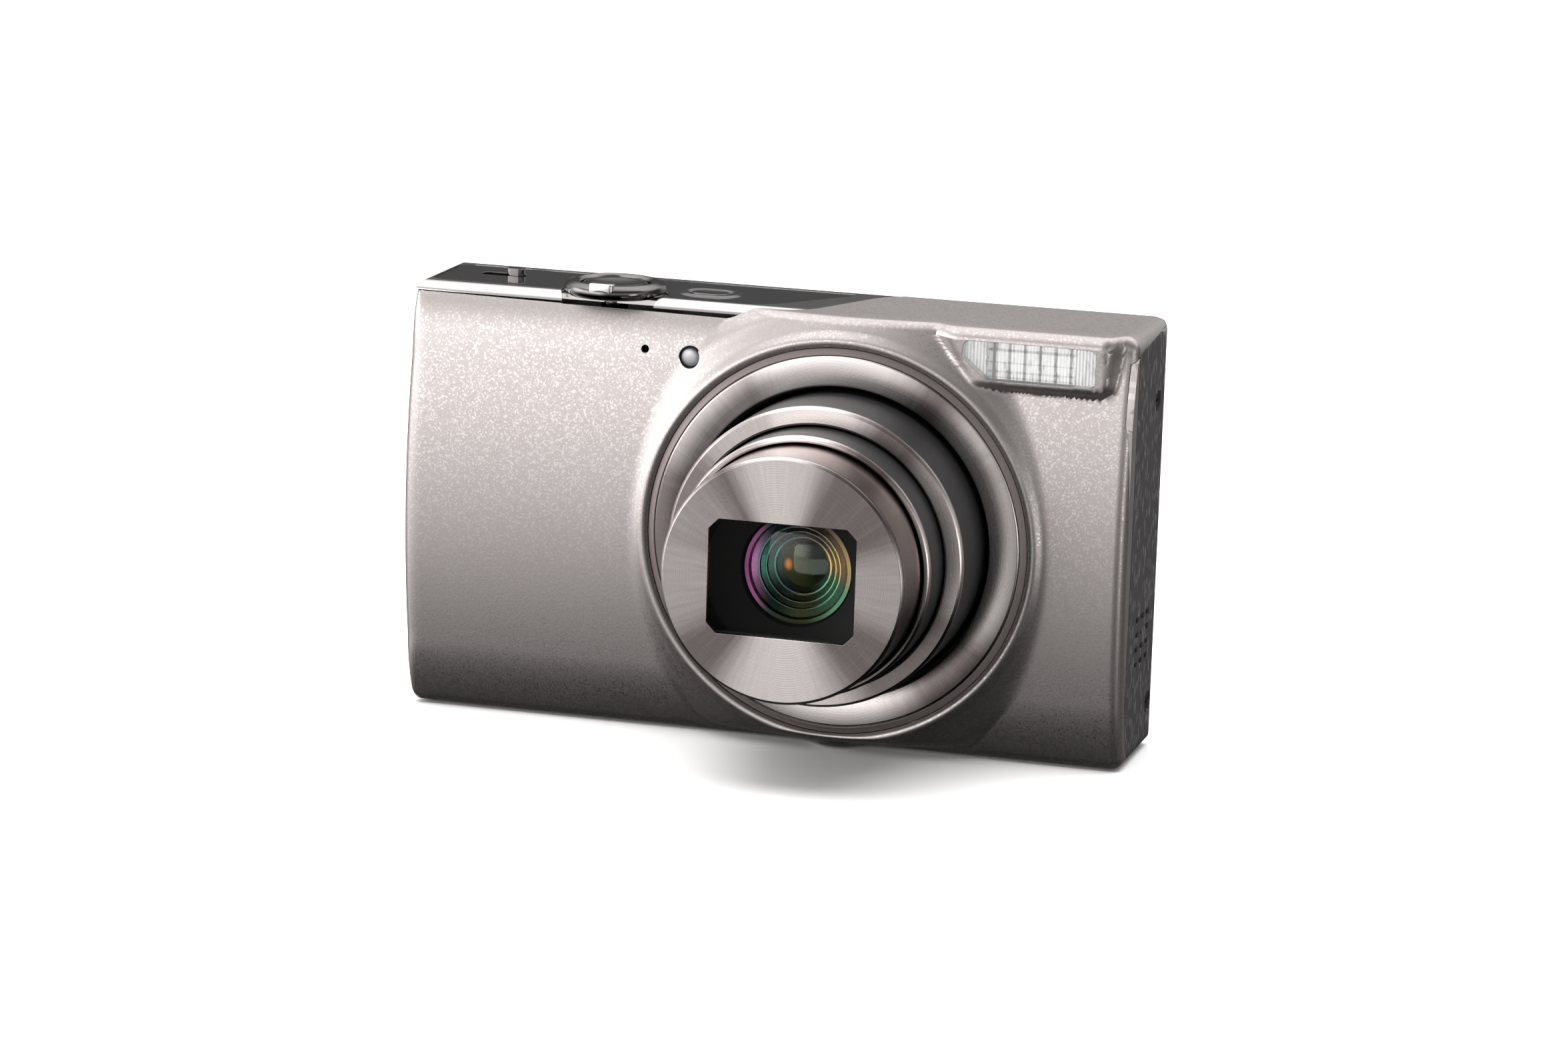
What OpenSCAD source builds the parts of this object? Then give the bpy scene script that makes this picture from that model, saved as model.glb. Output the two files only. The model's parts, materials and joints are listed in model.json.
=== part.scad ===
// Compact digital camera with a telescopic zoom lens.
// Millimetres. +Z is up, the lens looks along -Y and +X is to the right of
// someone who faces the lens. The origin is the middle of the flat base.

/* [Body] */
// Width of the body
body_w = 99.6; // [98.6:0.1:101]
// Height of the body from the base to the top
body_h = 58; // [57.6:0.1:59]
// Distance of the front face from the middle plane
front_y = 10.6; // [10.4:0.1:11]
// Distance of the back face from the middle plane
rear_y = 11.0; // [10.9:0.1:11.4]
// Thickness of the outer shells
wall = 0.9; // [0.7:0.1:1]

/* [Lens] */
// Sideways place of the lens axis
lens_x = 11.0; // [10:0.1:12]
// Height of the lens axis
lens_z = 28.3; // [27.8:0.1:28.8]
// Radius of the hole in the front cover
lens_hole_r = 25.9; // [25.7:0.1:26.1]
// Distance of the lens ring from the middle plane
ring_y = 11.4; // [11.2:0.1:11.6]
// Outer radius of the widest barrel
barrel_1_r = 19.9; // [19.6:0.1:20.1]
// Outer radius of the middle barrel
barrel_2_r = 17.2; // [17.0:0.1:17.3]
// Outer radius of the narrow barrel
barrel_3_r = 16.1; // [15.9:0.1:16.1]
// How far the front of the widest barrel stands from the middle plane
barrel_1_y = 21.6; // [20:0.1:22.4]
// How far the middle barrel stands out of the widest one
barrel_2_out = 6.34; // [5:0.02:7]
// How far the narrow barrel stands out of the middle one
barrel_3_out = 8.94; // [7:0.02:9.4]
// Width of the lens window
window_w = 19.5; // [18:0.1:19.6]
// Height of the lens window
window_h = 14.9; // [14:0.1:15]

/* [Controls] */
// Sideways place of the shutter button and the zoom lever
shutter_x = -22.5; // [-23:0.1:-22]
// Depth of the shutter button and the zoom lever
shutter_y = -3.7; // [-3.8:0.1:-3.4]
// Radius of the shutter button
shutter_r = 4.5; // [4.3:0.05:4.6]
// Outer radius of the zoom lever
lever_r = 6.9; // [6.7:0.1:7]
// Height of the zoom lever above the top
lever_rise = 1.6; // [1.4:0.1:1.8]
// Sideways place of the four-way pad on the back
pad_x = -34.3; // [-35:0.1:-34]
// Height of the four-way pad
pad_z = 26.5; // [25:0.5:28]
// Outer radius of the four-way pad
pad_r = 9.2; // [8.8:0.1:9.4]
// Gap round a moving button
button_gap = 0.25; // [0.15:0.05:0.3]

/* [Screen] */
// Width of the screen window
screen_w = 66.6; // [64:0.2:67]
// Height of the screen window
screen_h = 49.6; // [48:0.2:50]

/* [Battery] */
// Width of the battery
battery_w = 34.6; // [34:0.1:34.6]
// Height of the battery
battery_h = 40.2; // [38:0.1:41]
// Thickness of the battery
battery_t = 5.2; // [4.8:0.1:5.2]

/* [Base] */
// Sideways place of the tripod socket
tripod_x = 22; // [21:0.5:23]
// Radius of the tripod thread at its crest
tripod_r = 3.175; // [3.175:0.001:3.175]
// Depth of the tripod thread
tripod_depth = 4.6; // [4:0.1:4.8]

/* [Hidden] */
$fn = 96;
eps = 0.02;
half_w = body_w / 2;
top_z = body_h;

// Levels of the parts behind the front, measured along Y
base_back_y = 4.6;
chassis_y = 5.9;
board_y = 2.5;
key_y = 8.0;

// Battery bay and door
holder_wall = 0.45;
holder_x0 = -half_w + wall + 0.9;
battery_x = holder_x0 + holder_wall + 0.05;
battery_y = -6.2;
battery_z = 4.4;
door_t = 1.1;
door_x1 = -11.2;
door_y0 = -6.6;
door_y1 = 8.8;
door_gap = 0.15;
pivot_x = -half_w + 2.2;
pivot_z = 1.9;
lip_h = 2.7;

// Radii of the shutter's stem, the zoom lever's sleeve and the set button
stem_r = 1.0;
lever_sleeve_r = 1.8;
set_r = 4.1;

// Screen
screen_x = 13.2;
screen_z = 29.6;

// Terminals
flap_y0 = 1.0;
flap_y1 = 7.4;
flap_z0 = 14;
flap_z1 = 35;

// ---------- outlines ----------

// One corner b between a and c, rounded with the radius held in b[2].
function corner(a, b, c, n) =
    b[2] == 0 ? [[b.x, b.y]] :
    let (p = [b.x, b.y],
         u = ([a.x, a.y] - p) / norm([a.x, a.y] - p),
         v = ([c.x, c.y] - p) / norm([c.x, c.y] - p),
         half = acos(u * v) / 2,
         reach = b[2] / tan(half),
         mid = p + (u + v) / norm(u + v) * b[2] / sin(half),
         q0 = p + u * reach - mid,
         q1 = p + v * reach - mid,
         a0 = atan2(q0.y, q0.x),
         turn = atan2(q0.x * q1.y - q0.y * q1.x, q0 * q1))
    [for (i = [0:n]) mid + b[2] * [cos(a0 + turn * i / n), sin(a0 + turn * i / n)]];

// A closed outline of [x, y, radius] corners.
function rounded(p, n = 6) =
    [for (i = [0:len(p) - 1])
        each corner(p[(i + len(p) - 1) % len(p)], p[i], p[(i + 1) % len(p)], n)];

// A rounded rectangle from its two corners.
function box_outline(x0, y0, x1, y1, r) =
    rounded([[x0, y0, r], [x1, y0, r], [x1, y1, r], [x0, y1, r]]);

// ---------- ways to extrude ----------

// A sketch in X and Y, raised from z0 to z1.
module along_z(z0, z1) {
    translate([0, 0, z0]) linear_extrude(z1 - z0) children();
}

// A sketch in X and Z, pushed from y0 to y1.
module along_y(y0, y1) {
    translate([0, y1, 0]) rotate([90, 0, 0]) linear_extrude(y1 - y0) children();
}

// A sketch in Y and Z, pushed from x0 to x1.
module along_x(x0, x1) {
    translate([x0, 0, 0]) rotate([90, 0, 90]) linear_extrude(x1 - x0) children();
}

// A turned shape on the lens axis; its second value is the distance in front.
module turned(profile) {
    translate([lens_x, 0, lens_z]) rotate([90, 0, 0]) rotate_extrude() polygon(profile);
}

// A ring on the lens axis from y_back to y_front, both counted towards the front.
module lens_tube(r_out, r_in, y_back, y_front) {
    turned([[r_in, y_back], [r_out, y_back], [r_out, y_front], [r_in, y_front]]);
}

// A round bar along Y.
module bar_y(x, z, r, y0, y1) {
    translate([x, y1, z]) rotate([90, 0, 0]) cylinder(r = r, h = y1 - y0);
}

// A round bar along X.
module bar_x(y, z, r, x0, x1) {
    translate([x0, y, z]) rotate([0, 90, 0]) cylinder(r = r, h = x1 - x0);
}

// A block from its lowest and highest corners.
module block(low, high) {
    translate(low) cube(high - low);
}

// ---------- outer form ----------

// The body drawn e inside its outer surface.
module form(e = 0) {
    intersection() {
        along_x(-half_w - 1, half_w + 1) polygon(rounded([
            [-7.4 + e, e, 3],
            [-front_y + e, 15, 60],
            [-front_y + e, 37, 90],
            [-8.9 + e, 51, 30],
            [-6.7 + e, top_z - e, 1.7],
            [rear_y - e, top_z - e, 1.6],
            [rear_y - e, e, 2.6]]));
        along_y(-front_y - 1, rear_y + 1) polygon(rounded([
            [-half_w + 0.6 + e, e, 2],
            [half_w - e, e, 1.8],
            [half_w - e, top_z - e, 2],
            [-half_w + 0.35 + e, top_z - e, 1.2],
            [-half_w + e, top_z / 2, 500]]));
        along_z(-1, top_z + 1) polygon(rounded([
            [-half_w + e, -front_y + e, 2.2],
            [half_w - e, -front_y + e, 1.4],
            [half_w - e, rear_y - e, 1.6],
            [-half_w + e, rear_y - e, 1.5]]));
    }
}

// Space kept by the rear and top covers: everything behind the seam.
module behind_seam() {
    block([-half_w - 2, 4.5, -1], [half_w + 2, rear_y + 1, top_z + 1]);
}

// Plan of the top cover, with the curved right edge that runs to the back.
module top_cover_plan() {
    polygon(rounded([
        [-half_w - 1, -7.0, 0],
        [4.4, -7.4, 6],
        [11.4, 8.6, 7],
        [19.5, 12.6, 0],
        [-half_w - 1, 12.6, 0]], 10));
}

// Soft swelling of the front cover round the lens, fading outwards.
module lens_swelling() {
    crest_r = lens_hole_r + 1.2;
    fade_r = lens_hole_r + 5.4;
    intersection() {
        turned(concat(
            [[lens_hole_r - 1, 6.2], [lens_hole_r - 1, ring_y - 0.5], [lens_hole_r, ring_y - 0.35],
             [lens_hole_r + 0.5, ring_y - 0.05], [crest_r, ring_y]],
            [for (i = [1:6]) let (t = i / 6)
                [crest_r + (fade_r - crest_r) * t, ring_y - 1.5 * (1 - cos(180 * t)) / 2]],
            [[fade_r, 6.2]]));
        along_x(-half_w, half_w) polygon(rounded([
            [-ring_y - 1, 1.2, 1], [-ring_y - 1, top_z - 3.2, 5], [-6.4, top_z, 1.2],
            [0, top_z, 0], [0, 1.2, 0]]));
    }
}

// Soft raised field round the flash.
module flash_swelling() {
    intersection() {
        along_y(-10.5, -6) polygon(rounded([
            [24.4, 57.9, 0.6], [28.6, 50.2, 2], [48.2, 50.2, 1.8], [48.2, 57.9, 0.6]]));
        along_x(20, half_w) polygon(rounded([
            [-9.9, 50, 0.3], [-10.5, 51, 0.5], [-10.4, 57.0, 1.4], [-6.5, top_z, 1.4],
            [0, top_z, 0], [0, 50, 0]]));
    }
}

// Outline of the flash window, with its cut lower left corner.
module flash_outline(e) {
    polygon(rounded([
        [27.1 - e, 56.5 + e, 0.8], [26.9 - e, 54.2, 0.6], [30.4, 51.3 - e, 0.6],
        [44.8 + e, 51.3 - e, 1.0], [44.8 + e, 56.4 + e, 1.0]]));
}

// Round seat of the zoom lever in the top, open at the front edge.
module lever_seat() {
    translate([shutter_x, shutter_y, top_z - 0.5]) cylinder(r = lever_r + 0.3, h = 3);
    intersection() {
        translate([shutter_x, shutter_y, top_z - 1.6]) cylinder(r = lever_r + 0.3, h = 4);
        block([-half_w, -front_y - 1, top_z - 2], [0, -5.6, top_z + 2]);
    }
    translate([shutter_x, shutter_y, top_z - 3]) cylinder(r = lever_sleeve_r + 0.3, h = 4);
}

// Space for the battery door, its sliding hinge and the swing of its lip.
module door_space() {
    block([-half_w - 1, door_y0, -1], [door_x1 + door_gap, door_y1, door_t + 0.1]);
    block([-half_w - 1, door_y0, -1], [pivot_x, door_y1, lip_h + 1]);
    block([-half_w - 1, door_y0 + 0.2, -1], [-37.4, door_y1 - 0.2, 2.9]);
}

// Hole in the base round the tripod socket.
module socket_space() {
    translate([tripod_x, 0.5, -1]) cylinder(r = 4.65, h = 4);
}

// Outline of the panel that closes the right end, in Y and Z.
module end_panel_outline(e) {
    polygon(rounded([
        [-4.8 - e, 0.7 - e, 4], [-9.2 - e, 18, 60], [-9.4 - e, 46, 10], [-8.9 - e, 55.4 + e, 4],
        [8.4 + e, 56.8 + e, 2.4], [10.1 + e, 40, 40], [10.4 + e, 0.9 - e, 2.2]]));
}

// Places of the case screws: base, left end and right end.
base_screws = [[-5, -2.6], [43, 3.8]];
left_screws = [[5.0, 8.6], [5.0, 40.5]];
right_screws = [[5.9, 47.5], [7.7, 6.2]];
screw_r = 1.5;

// A shallow recess or head for every case screw.
module at_screws() {
    for (p = base_screws) translate([p.x, p.y, 0]) children();
    for (p = left_screws) translate([-half_w, p.x, p.y]) rotate([0, 90, 0]) children();
    for (p = right_screws) translate([half_w, p.x, p.y]) rotate([0, -90, 0]) children();
}

// ---------- covers ----------

module front_cover() {
    color("#b5aca9") difference() {
        union() {
            difference() {
                form();
                behind_seam();
            }
            // the strip over the top, right of the curved edge
            intersection() {
                form();
                block([-5, -front_y, top_z - 1.1], [half_w, rear_y - 0.95, top_z]);
            }
            lens_swelling();
            flash_swelling();
        }
        along_z(top_z - 1.25, top_z + 1) top_cover_plan();
        form(wall);
        lens_tube(lens_hole_r, 0, -20, 20);
        lever_seat();
        // flash, lamp and microphone openings
        along_y(-20, -5.9) flash_outline(0);
        bar_y(-10.3, 50.9, 1.4, -20, 0);
        bar_y(-16.55, 51.55, 0.55, -20, 0);
        block([26, -9.7, 51], [45.4, -2, 57]);
        // right and left end panels
        end_cut();
        left_cut();
        door_space();
        socket_space();
        at_screws() translate([0, 0, -1]) cylinder(r = screw_r + 0.1, h = 3);
    }
}

// Room for the right end panel and the parts behind it.
module end_cut() {
    along_x(half_w - 1.0, half_w + 2) end_panel_outline(0.05);
}

// Room for the left end cover.
module left_cut() {
    block([-half_w - 1, -3.6, lip_h + 1.0], [-half_w + wall + 1.3, 8.6, 56.6]);
}

module top_cover() {
    color("#8e8988") difference() {
        intersection() {
            form();
            along_z(top_z - 1.2, top_z + 1) top_cover_plan();
        }
        // seat of the dark panel
        along_z(top_z - 0.6, top_z + 1) top_panel_plan(0.05);
        lever_seat();
        along_z(top_z - 2, top_z + 1) mode_slot(0);
        along_z(top_z - 2, top_z + 1) power_outline(button_gap);
        // the rear cover's edge
        block([-half_w - 1, rear_y - 0.95, top_z - 3], [30, rear_y + 1, top_z + 1]);
    }
}

// Plan of the dark inlay on the top.
module top_panel_plan(e) {
    polygon(rounded([
        [-half_w + 1.6 - e, -4.4 - e, 1.6], [-1.5, -5.4 - e, 8], [7.2 + e, 6.8, 1],
        [7.6 + e, 8.4 + e, 0.5], [-half_w + 1.6 - e, 8.4 + e, 2]], 8));
}

module mode_slot(e) {
    polygon(box_outline(-43.5 - e, 1.9 - e, -37.2 + e, 4.1 + e, 1));
}

module power_outline(e) {
    polygon(box_outline(-13.1 - e, -1.0 - e, -7.9 + e, 2.2 + e, 1.55 + e));
}

module top_panel() {
    color("#1c1c1e") difference() {
        along_z(top_z - 0.55, top_z - 0.05) top_panel_plan(-0.05);
        translate([shutter_x, shutter_y, top_z - 2]) cylinder(r = lever_r + 0.35, h = 4);
        along_z(top_z - 2, top_z + 1) mode_slot(0);
        along_z(top_z - 2, top_z + 1) power_outline(button_gap);
    }
}

module rear_cover() {
    color("#a79f9c") difference() {
        union() {
            difference() {
                form();
                form(wall);
                block([-half_w - 2, -front_y - 2, -1], [half_w + 2, 4.55, top_z + 1]);
                block([-half_w - 2, -front_y, top_z - 1.25], [half_w + 2, rear_y - 0.9, top_z + 1]);
            }
            // raised thumb rest
            along_y(rear_y - 0.3, rear_y + 0.35)
                polygon(box_outline(-46.5, 47, -31, 54.5, 2.5));
        }
        along_y(5, 20) screen_outline(0.05);
        for (b = round_buttons) bar_y(b[0], b[1], b[2] + button_gap, 5, 20);
        bar_y(pad_x, pad_z, pad_r + button_gap + 0.05, 5, 20);
        end_cut();
        left_cut();
        door_space();
        at_screws() translate([0, 0, -1]) cylinder(r = screw_r + 0.1, h = 3);
        socket_space();
    }
}

// Round buttons on the back: place in X, in Z and radius.
round_buttons = [[-27.2, 49.4, 2.6], [-41.6, 41.2, 2.3], [-27.2, 41.2, 2.3], [-27.4, 11.6, 2.3]];

module screen_outline(e) {
    polygon(box_outline(screen_x - screen_w / 2 - e, screen_z - screen_h / 2 - e,
        screen_x + screen_w / 2 + e, screen_z + screen_h / 2 + e, 1.6));
}

module side_cover_right() {
    color("#3a3a3c") difference() {
        intersection() {
            form();
            along_x(half_w - 0.95, half_w + 1) end_panel_outline(0);
        }
        for (y = [-1.1, 2.0, 5.1], z = [13.2, 15.2, 17.2, 19.2])
            translate([half_w - 2, y - 0.9, z - 0.4]) cube([4, 1.8, 0.8]);
        for (p = right_screws) bar_x(p.x, p.y, screw_r + 0.1, half_w - 2, half_w + 2);
    }
}

module side_cover_left() {
    color("#4b4a4a") difference() {
        union() {
            intersection() {
                form();
                block([-half_w - 1, -3.55, lip_h + 1.05], [-half_w + wall, 8.55, 56.55]);
            }
            // pocket behind the strap bar
            block([-half_w + wall - 0.1, -2.4, 46.2], [-half_w + 3.4, 5.4, 55]);
        }
        block([-half_w - 1, -1.6, 46.9], [-half_w + 2.8, 4.6, 54.3]);
        translate([-half_w + 1.3, 1.5, 46.3]) cylinder(r = 0.85, h = 8.6);
        block([-half_w - 1, flap_y0 - 0.15, flap_z0 - 0.15], [-half_w + 3, flap_y1 + 0.15, flap_z1 + 0.15]);
        for (p = left_screws) bar_x(p.x, p.y, screw_r + 0.1, -half_w - 1, -half_w + 3);
    }
}

// Stamped plate between the lens and the screen.
module chassis_frame() {
    color("#9a9a9e") difference() {
        union() {
            block([-half_w + 2.2, chassis_y, 3.9], [half_w - 2.2, chassis_y + 0.4, 54.6]);
            // folded feet for the base screws
            block([30, chassis_y - 3.3, 1.6], [47, chassis_y + 0.4, 2.1]);
            block([30, chassis_y, 1.6], [47, chassis_y + 0.4, 4.5]);
            // folded ear behind the upper case screw on the right
            block([47, chassis_y - 2.2, 43], [47.5, chassis_y + 0.4, 52]);
        }
        for (x = [-44:8:-20], z = [12:9:48]) bar_y(x, z, 1.5, 0, 12);
        bar_y(lens_x, lens_z, 9, 0, 12);
        translate([base_screws[1].x, base_screws[1].y, 0]) cylinder(r = 0.9, h = 4);
        bar_x(right_screws[0].x, right_screws[0].y, 0.9, 45, half_w);
    }
}

module case_screws() {
    color("#1f1f20") {
        for (p = base_screws) translate([p.x, p.y, 0.1]) screw();
        for (p = left_screws) translate([-half_w + 0.55, p.x, p.y]) rotate([0, 90, 0]) screw();
        for (p = right_screws) translate([half_w - 0.2, p.x, p.y]) rotate([0, -90, 0]) screw();
    }
}

// A case screw with a cross recess, its head at the origin and its tip inwards.
module screw() {
    difference() {
        union() {
            cylinder(r = screw_r, h = 0.9);
            cylinder(r = 0.8, h = 2.6);
        }
        for (a = [0, 90]) rotate(a) translate([-0.9, -0.15, -0.1]) cube([1.8, 0.3, 0.6]);
    }
}

// ---------- lens ----------

module lens_trim_ring() {
    color("#6d6462") turned([
        [24.9, ring_y - 1.6], [lens_hole_r - 0.05, ring_y - 1.6], [lens_hole_r - 0.05, ring_y - 0.55],
        [24.9, ring_y - 0.1]]);
}

module lens_decor_ring() {
    color("#bdb1ae") turned([
        [20.8, ring_y - 1.5], [24.85, ring_y - 1.5], [24.85, ring_y - 0.15], [24.7, ring_y],
        [21.2, ring_y], [20.8, ring_y - 0.35]]);
}

module lens_base_barrel() {
    color("#2c2c2e") difference() {
        union() {
            lens_tube(23.2, 20.5, -base_back_y, ring_y - 1.65);
            lens_tube(25.8, 22, ring_y - 2.6, ring_y - 1.65);
            lens_tube(22, 0, -base_back_y, -base_back_y + 0.6);
        }
        block([lens_x - 7.5, 0, lens_z - 6.5], [lens_x + 7.5, 10, lens_z + 6.5]);
    }
}

// Fronts of the barrels, counted towards the front.
b1 = barrel_1_y;
b2 = b1 + barrel_2_out;
b3 = b2 + barrel_3_out;

module barrel_1_tube() {
    color("#38393a") lens_tube(barrel_1_r, 17.6, b1 - 15, b1 - 0.8);
}

module barrel_1_ring() {
    color("#b3a9a7") turned([
        [17.5, b1 - 0.8], [barrel_1_r, b1 - 0.8], [barrel_1_r, b1 - 0.3], [barrel_1_r - 0.3, b1],
        [17.8, b1], [17.5, b1 - 0.3]]);
}

module barrel_2_tube() {
    color("#38393a") lens_tube(barrel_2_r, barrel_3_r + 0.3, b2 - 14.8, b2 - 0.7);
}

module barrel_2_ring() {
    color("#b3a9a7") turned([
        [barrel_3_r + 0.25, b2 - 0.7], [barrel_2_r, b2 - 0.7], [barrel_2_r, b2 - 0.25],
        [barrel_2_r - 0.25, b2], [barrel_3_r + 0.4, b2], [barrel_3_r + 0.25, b2 - 0.15]]);
}

module barrel_3_tube() {
    color("#a89b98") difference() {
        lens_tube(barrel_3_r, barrel_3_r - 0.5, b3 - 14, b3 - 0.8);
        // guide pins and slots of the cam
        for (a = [0, 120, 240])
            translate([lens_x, -b3 + 12, lens_z]) rotate([0, a, 0])
                translate([barrel_3_r - 1, -1, -0.8]) cube([2, 3.5, 1.6]);
    }
}

module window_outline(e) {
    w = window_w / 2 + e;
    h = window_h / 2 + e;
    c = 1.3;
    polygon([[lens_x - w + c, lens_z - h], [lens_x + w - c, lens_z - h],
        [lens_x + w, lens_z - h + c], [lens_x + w, lens_z + h - c],
        [lens_x + w - c, lens_z + h], [lens_x - w + c, lens_z + h],
        [lens_x - w, lens_z + h - c], [lens_x - w, lens_z - h + c]]);
}

module lens_face_plate() {
    color("#b5a9a6") difference() {
        turned([[0, b3 - 0.8], [barrel_3_r, b3 - 0.8], [barrel_3_r, b3 - 0.35],
            [barrel_3_r - 0.35, b3], [0, b3]]);
        along_y(-b3 - 1, -b3 + 2) window_outline(0);
    }
}

// One half of the lens barrier, cut from a disc above the line z_edge.
// side is 1 above the lens axis and -1 below it.
module barrier_half(side, r, z_edge, y_front) {
    translate([lens_x, 0, lens_z]) mirror([0, 0, side > 0 ? 0 : 1])
        intersection() {
            translate([0, -y_front + 0.25, 0]) rotate([90, 0, 0]) cylinder(r = r, h = 0.25);
            block([-20, -b3, z_edge], [20, 0, 20]);
        }
}

blade_r = barrel_3_r - 1.45;
blade_y = b3 - 0.95;
leaf_y = b3 - 1.35;

module barrier_blade_upper() {
    color("#57585a") barrier_half(1, blade_r, window_h / 2 - 0.05, blade_y);
}

module barrier_blade_lower() {
    color("#57585a") barrier_half(-1, blade_r, window_h / 2 - 0.05, blade_y);
}

module barrier_leaf_upper() {
    color("#4a4b4d") barrier_half(1, blade_r, window_h / 2 - 0.05, leaf_y);
}

module barrier_leaf_lower() {
    color("#4a4b4d") barrier_half(-1, blade_r, window_h / 2 - 0.05, leaf_y);
}

// Black stop behind the window, with a stepped mouth that the front lens sits in.
module lens_hood() {
    color("#101011") turned([
        [6.9, b3 - 9.4], [barrel_3_r - 0.55, b3 - 9.4], [barrel_3_r - 0.55, b3 - 1.9],
        [14.9, b3 - 1.9], [14.9, b3 - 4.2], [11.2, b3 - 4.2], [9.2, b3 - 5.6], [7.4, b3 - 7.0],
        [7.4, b3 - 8.2], [6.9, b3 - 8.2]]);
}

// A lens with a spherical front, on the lens axis.
module dome_lens(r, y_edge, rise, thick) {
    ball = (r * r + rise * rise) / (2 * rise);
    edge = asin(r / ball);
    turned(concat([[0, y_edge - thick], [r, y_edge - thick]],
        [for (i = [0:9]) let (a = edge * (1 - i / 9))
            [ball * sin(a), y_edge + rise - ball * (1 - cos(a))]]));
}

module front_lens() {
    color("#26443c") dome_lens(7.35, b3 - 8.1, 1.6, 0.1);
}

module inner_lens() {
    color("#2c2a48") dome_lens(4.4, b3 - 12.4, 0.9, 1.2);
    color("#2c2a48") difference() {
        lens_tube(barrel_3_r - 0.6, 4.35, b3 - 13.8, b3 - 12.4);
        lens_tube(5.4, 0, b3 - 13.0, b3 - 12.3);
    }
}

module image_sensor() {
    color("#304a38") {
        block([lens_x - 7.2, base_back_y - 0.65, lens_z - 6.2],
            [lens_x + 7.2, base_back_y + 0.1, lens_z + 6.2]);
        block([lens_x - 11, base_back_y + 0.1, lens_z - 9], [lens_x + 11, base_back_y + 0.9, lens_z + 9]);
    }
}

module zoom_motor() {
    color("#a0a0a4") {
        bar_y(34.4, 8.2, 3.3, -6.8, 2.4);
        bar_y(34.4, 8.2, 0.6, 2.4, 4.2);
    }
}

// ---------- flash, lamp and sound ----------

module flash_window() {
    color("#e8ecec") difference() {
        along_y(-10.55, -9.1) flash_outline(-0.06);
        // ribs on the inner face
        for (x = [28.2:1.4:43.8]) translate([x, -9.1, 50]) rotate(45) cube([0.4, 0.4, 8]);
    }
}

module flash_reflector() {
    color("#d5d5d8") difference() {
        block([27.4, -8.95, 51.4], [44.4, -4.6, 56.85]);
        along_x(28.2, 43.6) polygon(rounded([
            [-9.1, 51.8, 0], [-9.1, 56.4, 0], [-7.4, 55.9, 1.6], [-5.3, 54.1, 1.2], [-7.4, 52.3, 1.6]]));
    }
}

module xenon_tube() {
    color("#f3f5f6") bar_x(-6.9, 54.1, 0.7, 28.6, 43.2);
}

module flash_capacitor() {
    color("#26282c") {
        translate([41.6, -4.6, 12.6]) cylinder(r = 4.1, h = 30);
        for (x = [40.4, 42.8]) translate([x, -4.6, 42.6]) cylinder(r = 0.35, h = 4);
    }
}

module af_lamp_lens() {
    color("#7d868c") {
        bar_y(-10.3, 50.9, 1.32, -9.0, -6.6);
        bar_y(-10.3, 50.9, 2.0, -6.9, -6.2);
    }
}

module microphone() {
    color("#141415") bar_y(-16.55, 51.55, 1.6, -6.9, -5.4);
}

module speaker() {
    color("#2e2e30") {
        bar_x(1.1, 16.2, 4.7, half_w - 3.4, half_w - 1.1);
        bar_x(1.1, 16.2, 2.4, half_w - 3.9, half_w - 3.4);
    }
}

// ---------- electronics ----------

module main_board() {
    color("#2f6b3f") {
        block([-half_w + 1.9, board_y, 5.2], [-13.4, board_y + 0.9, 42.8]);
        block([-34, board_y + 0.9, 8], [-22, board_y + 2.0, 20]);
        block([-36, board_y + 0.9, 26], [-24, board_y + 1.9, 34]);
    }
}

module key_board() {
    color("#3d6f52") {
        block([-half_w + 2.4, key_y, 6.5], [-21.6, key_y + 0.5, 53.2]);
        for (b = round_buttons) bar_y(b[0], b[1], 1.2, key_y + 0.5, key_y + 0.8);
        bar_y(pad_x, pad_z, 1.6, key_y + 0.5, key_y + 0.8);
    }
}

module lcd_panel() {
    color("#23262b") difference() {
        block([screen_x - 33, 6.6, 5.6], [screen_x + 33, 9.2, 53.4]);
        block([screen_x - 31, 9.0, 7.0], [screen_x + 31, 9.5, 52.4]);
    }
}

module lcd_window() {
    color("#0c0d10") {
        along_y(9.9, rear_y + 0.15) screen_outline(-0.05);
        difference() {
            along_y(9.3, 9.9) screen_outline(-0.05);
            along_y(9, 10) screen_outline(-1.6);
        }
    }
}

module usb_port() {
    color("#b9b9bd") port(-half_w + 1.5, 16.4, 23.6);
}

module hdmi_port() {
    color("#b0b0b4") port(-half_w + 1.5, 25.6, 32.4);
}

// A shielded socket on the main board that opens to the left.
module port(x, z0, z1) {
    difference() {
        block([x, board_y + 0.95, z0], [x + 5.4, board_y + 3.3, z1]);
        block([x - 1, board_y + 1.25, z0 + 0.4], [x + 4.6, board_y + 3.0, z1 - 0.4]);
    }
    block([x + 0.8, board_y + 1.9, z0 + 1.2], [x + 4.8, board_y + 2.35, z1 - 1.2]);
}

// ---------- battery, card and base ----------

module battery() {
    color("#3b3d40") difference() {
        along_y(battery_y, battery_y + battery_t) polygon(box_outline(
            battery_x, battery_z, battery_x + battery_w, battery_z + battery_h, 0.8));
        for (i = [0:2]) block([battery_x + 4 + 3.6 * i, battery_y + 1.4, battery_z + battery_h - 0.5],
            [battery_x + 6.4 + 3.6 * i, battery_y + 3.4, battery_z + battery_h + 1]);
    }
}

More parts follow.
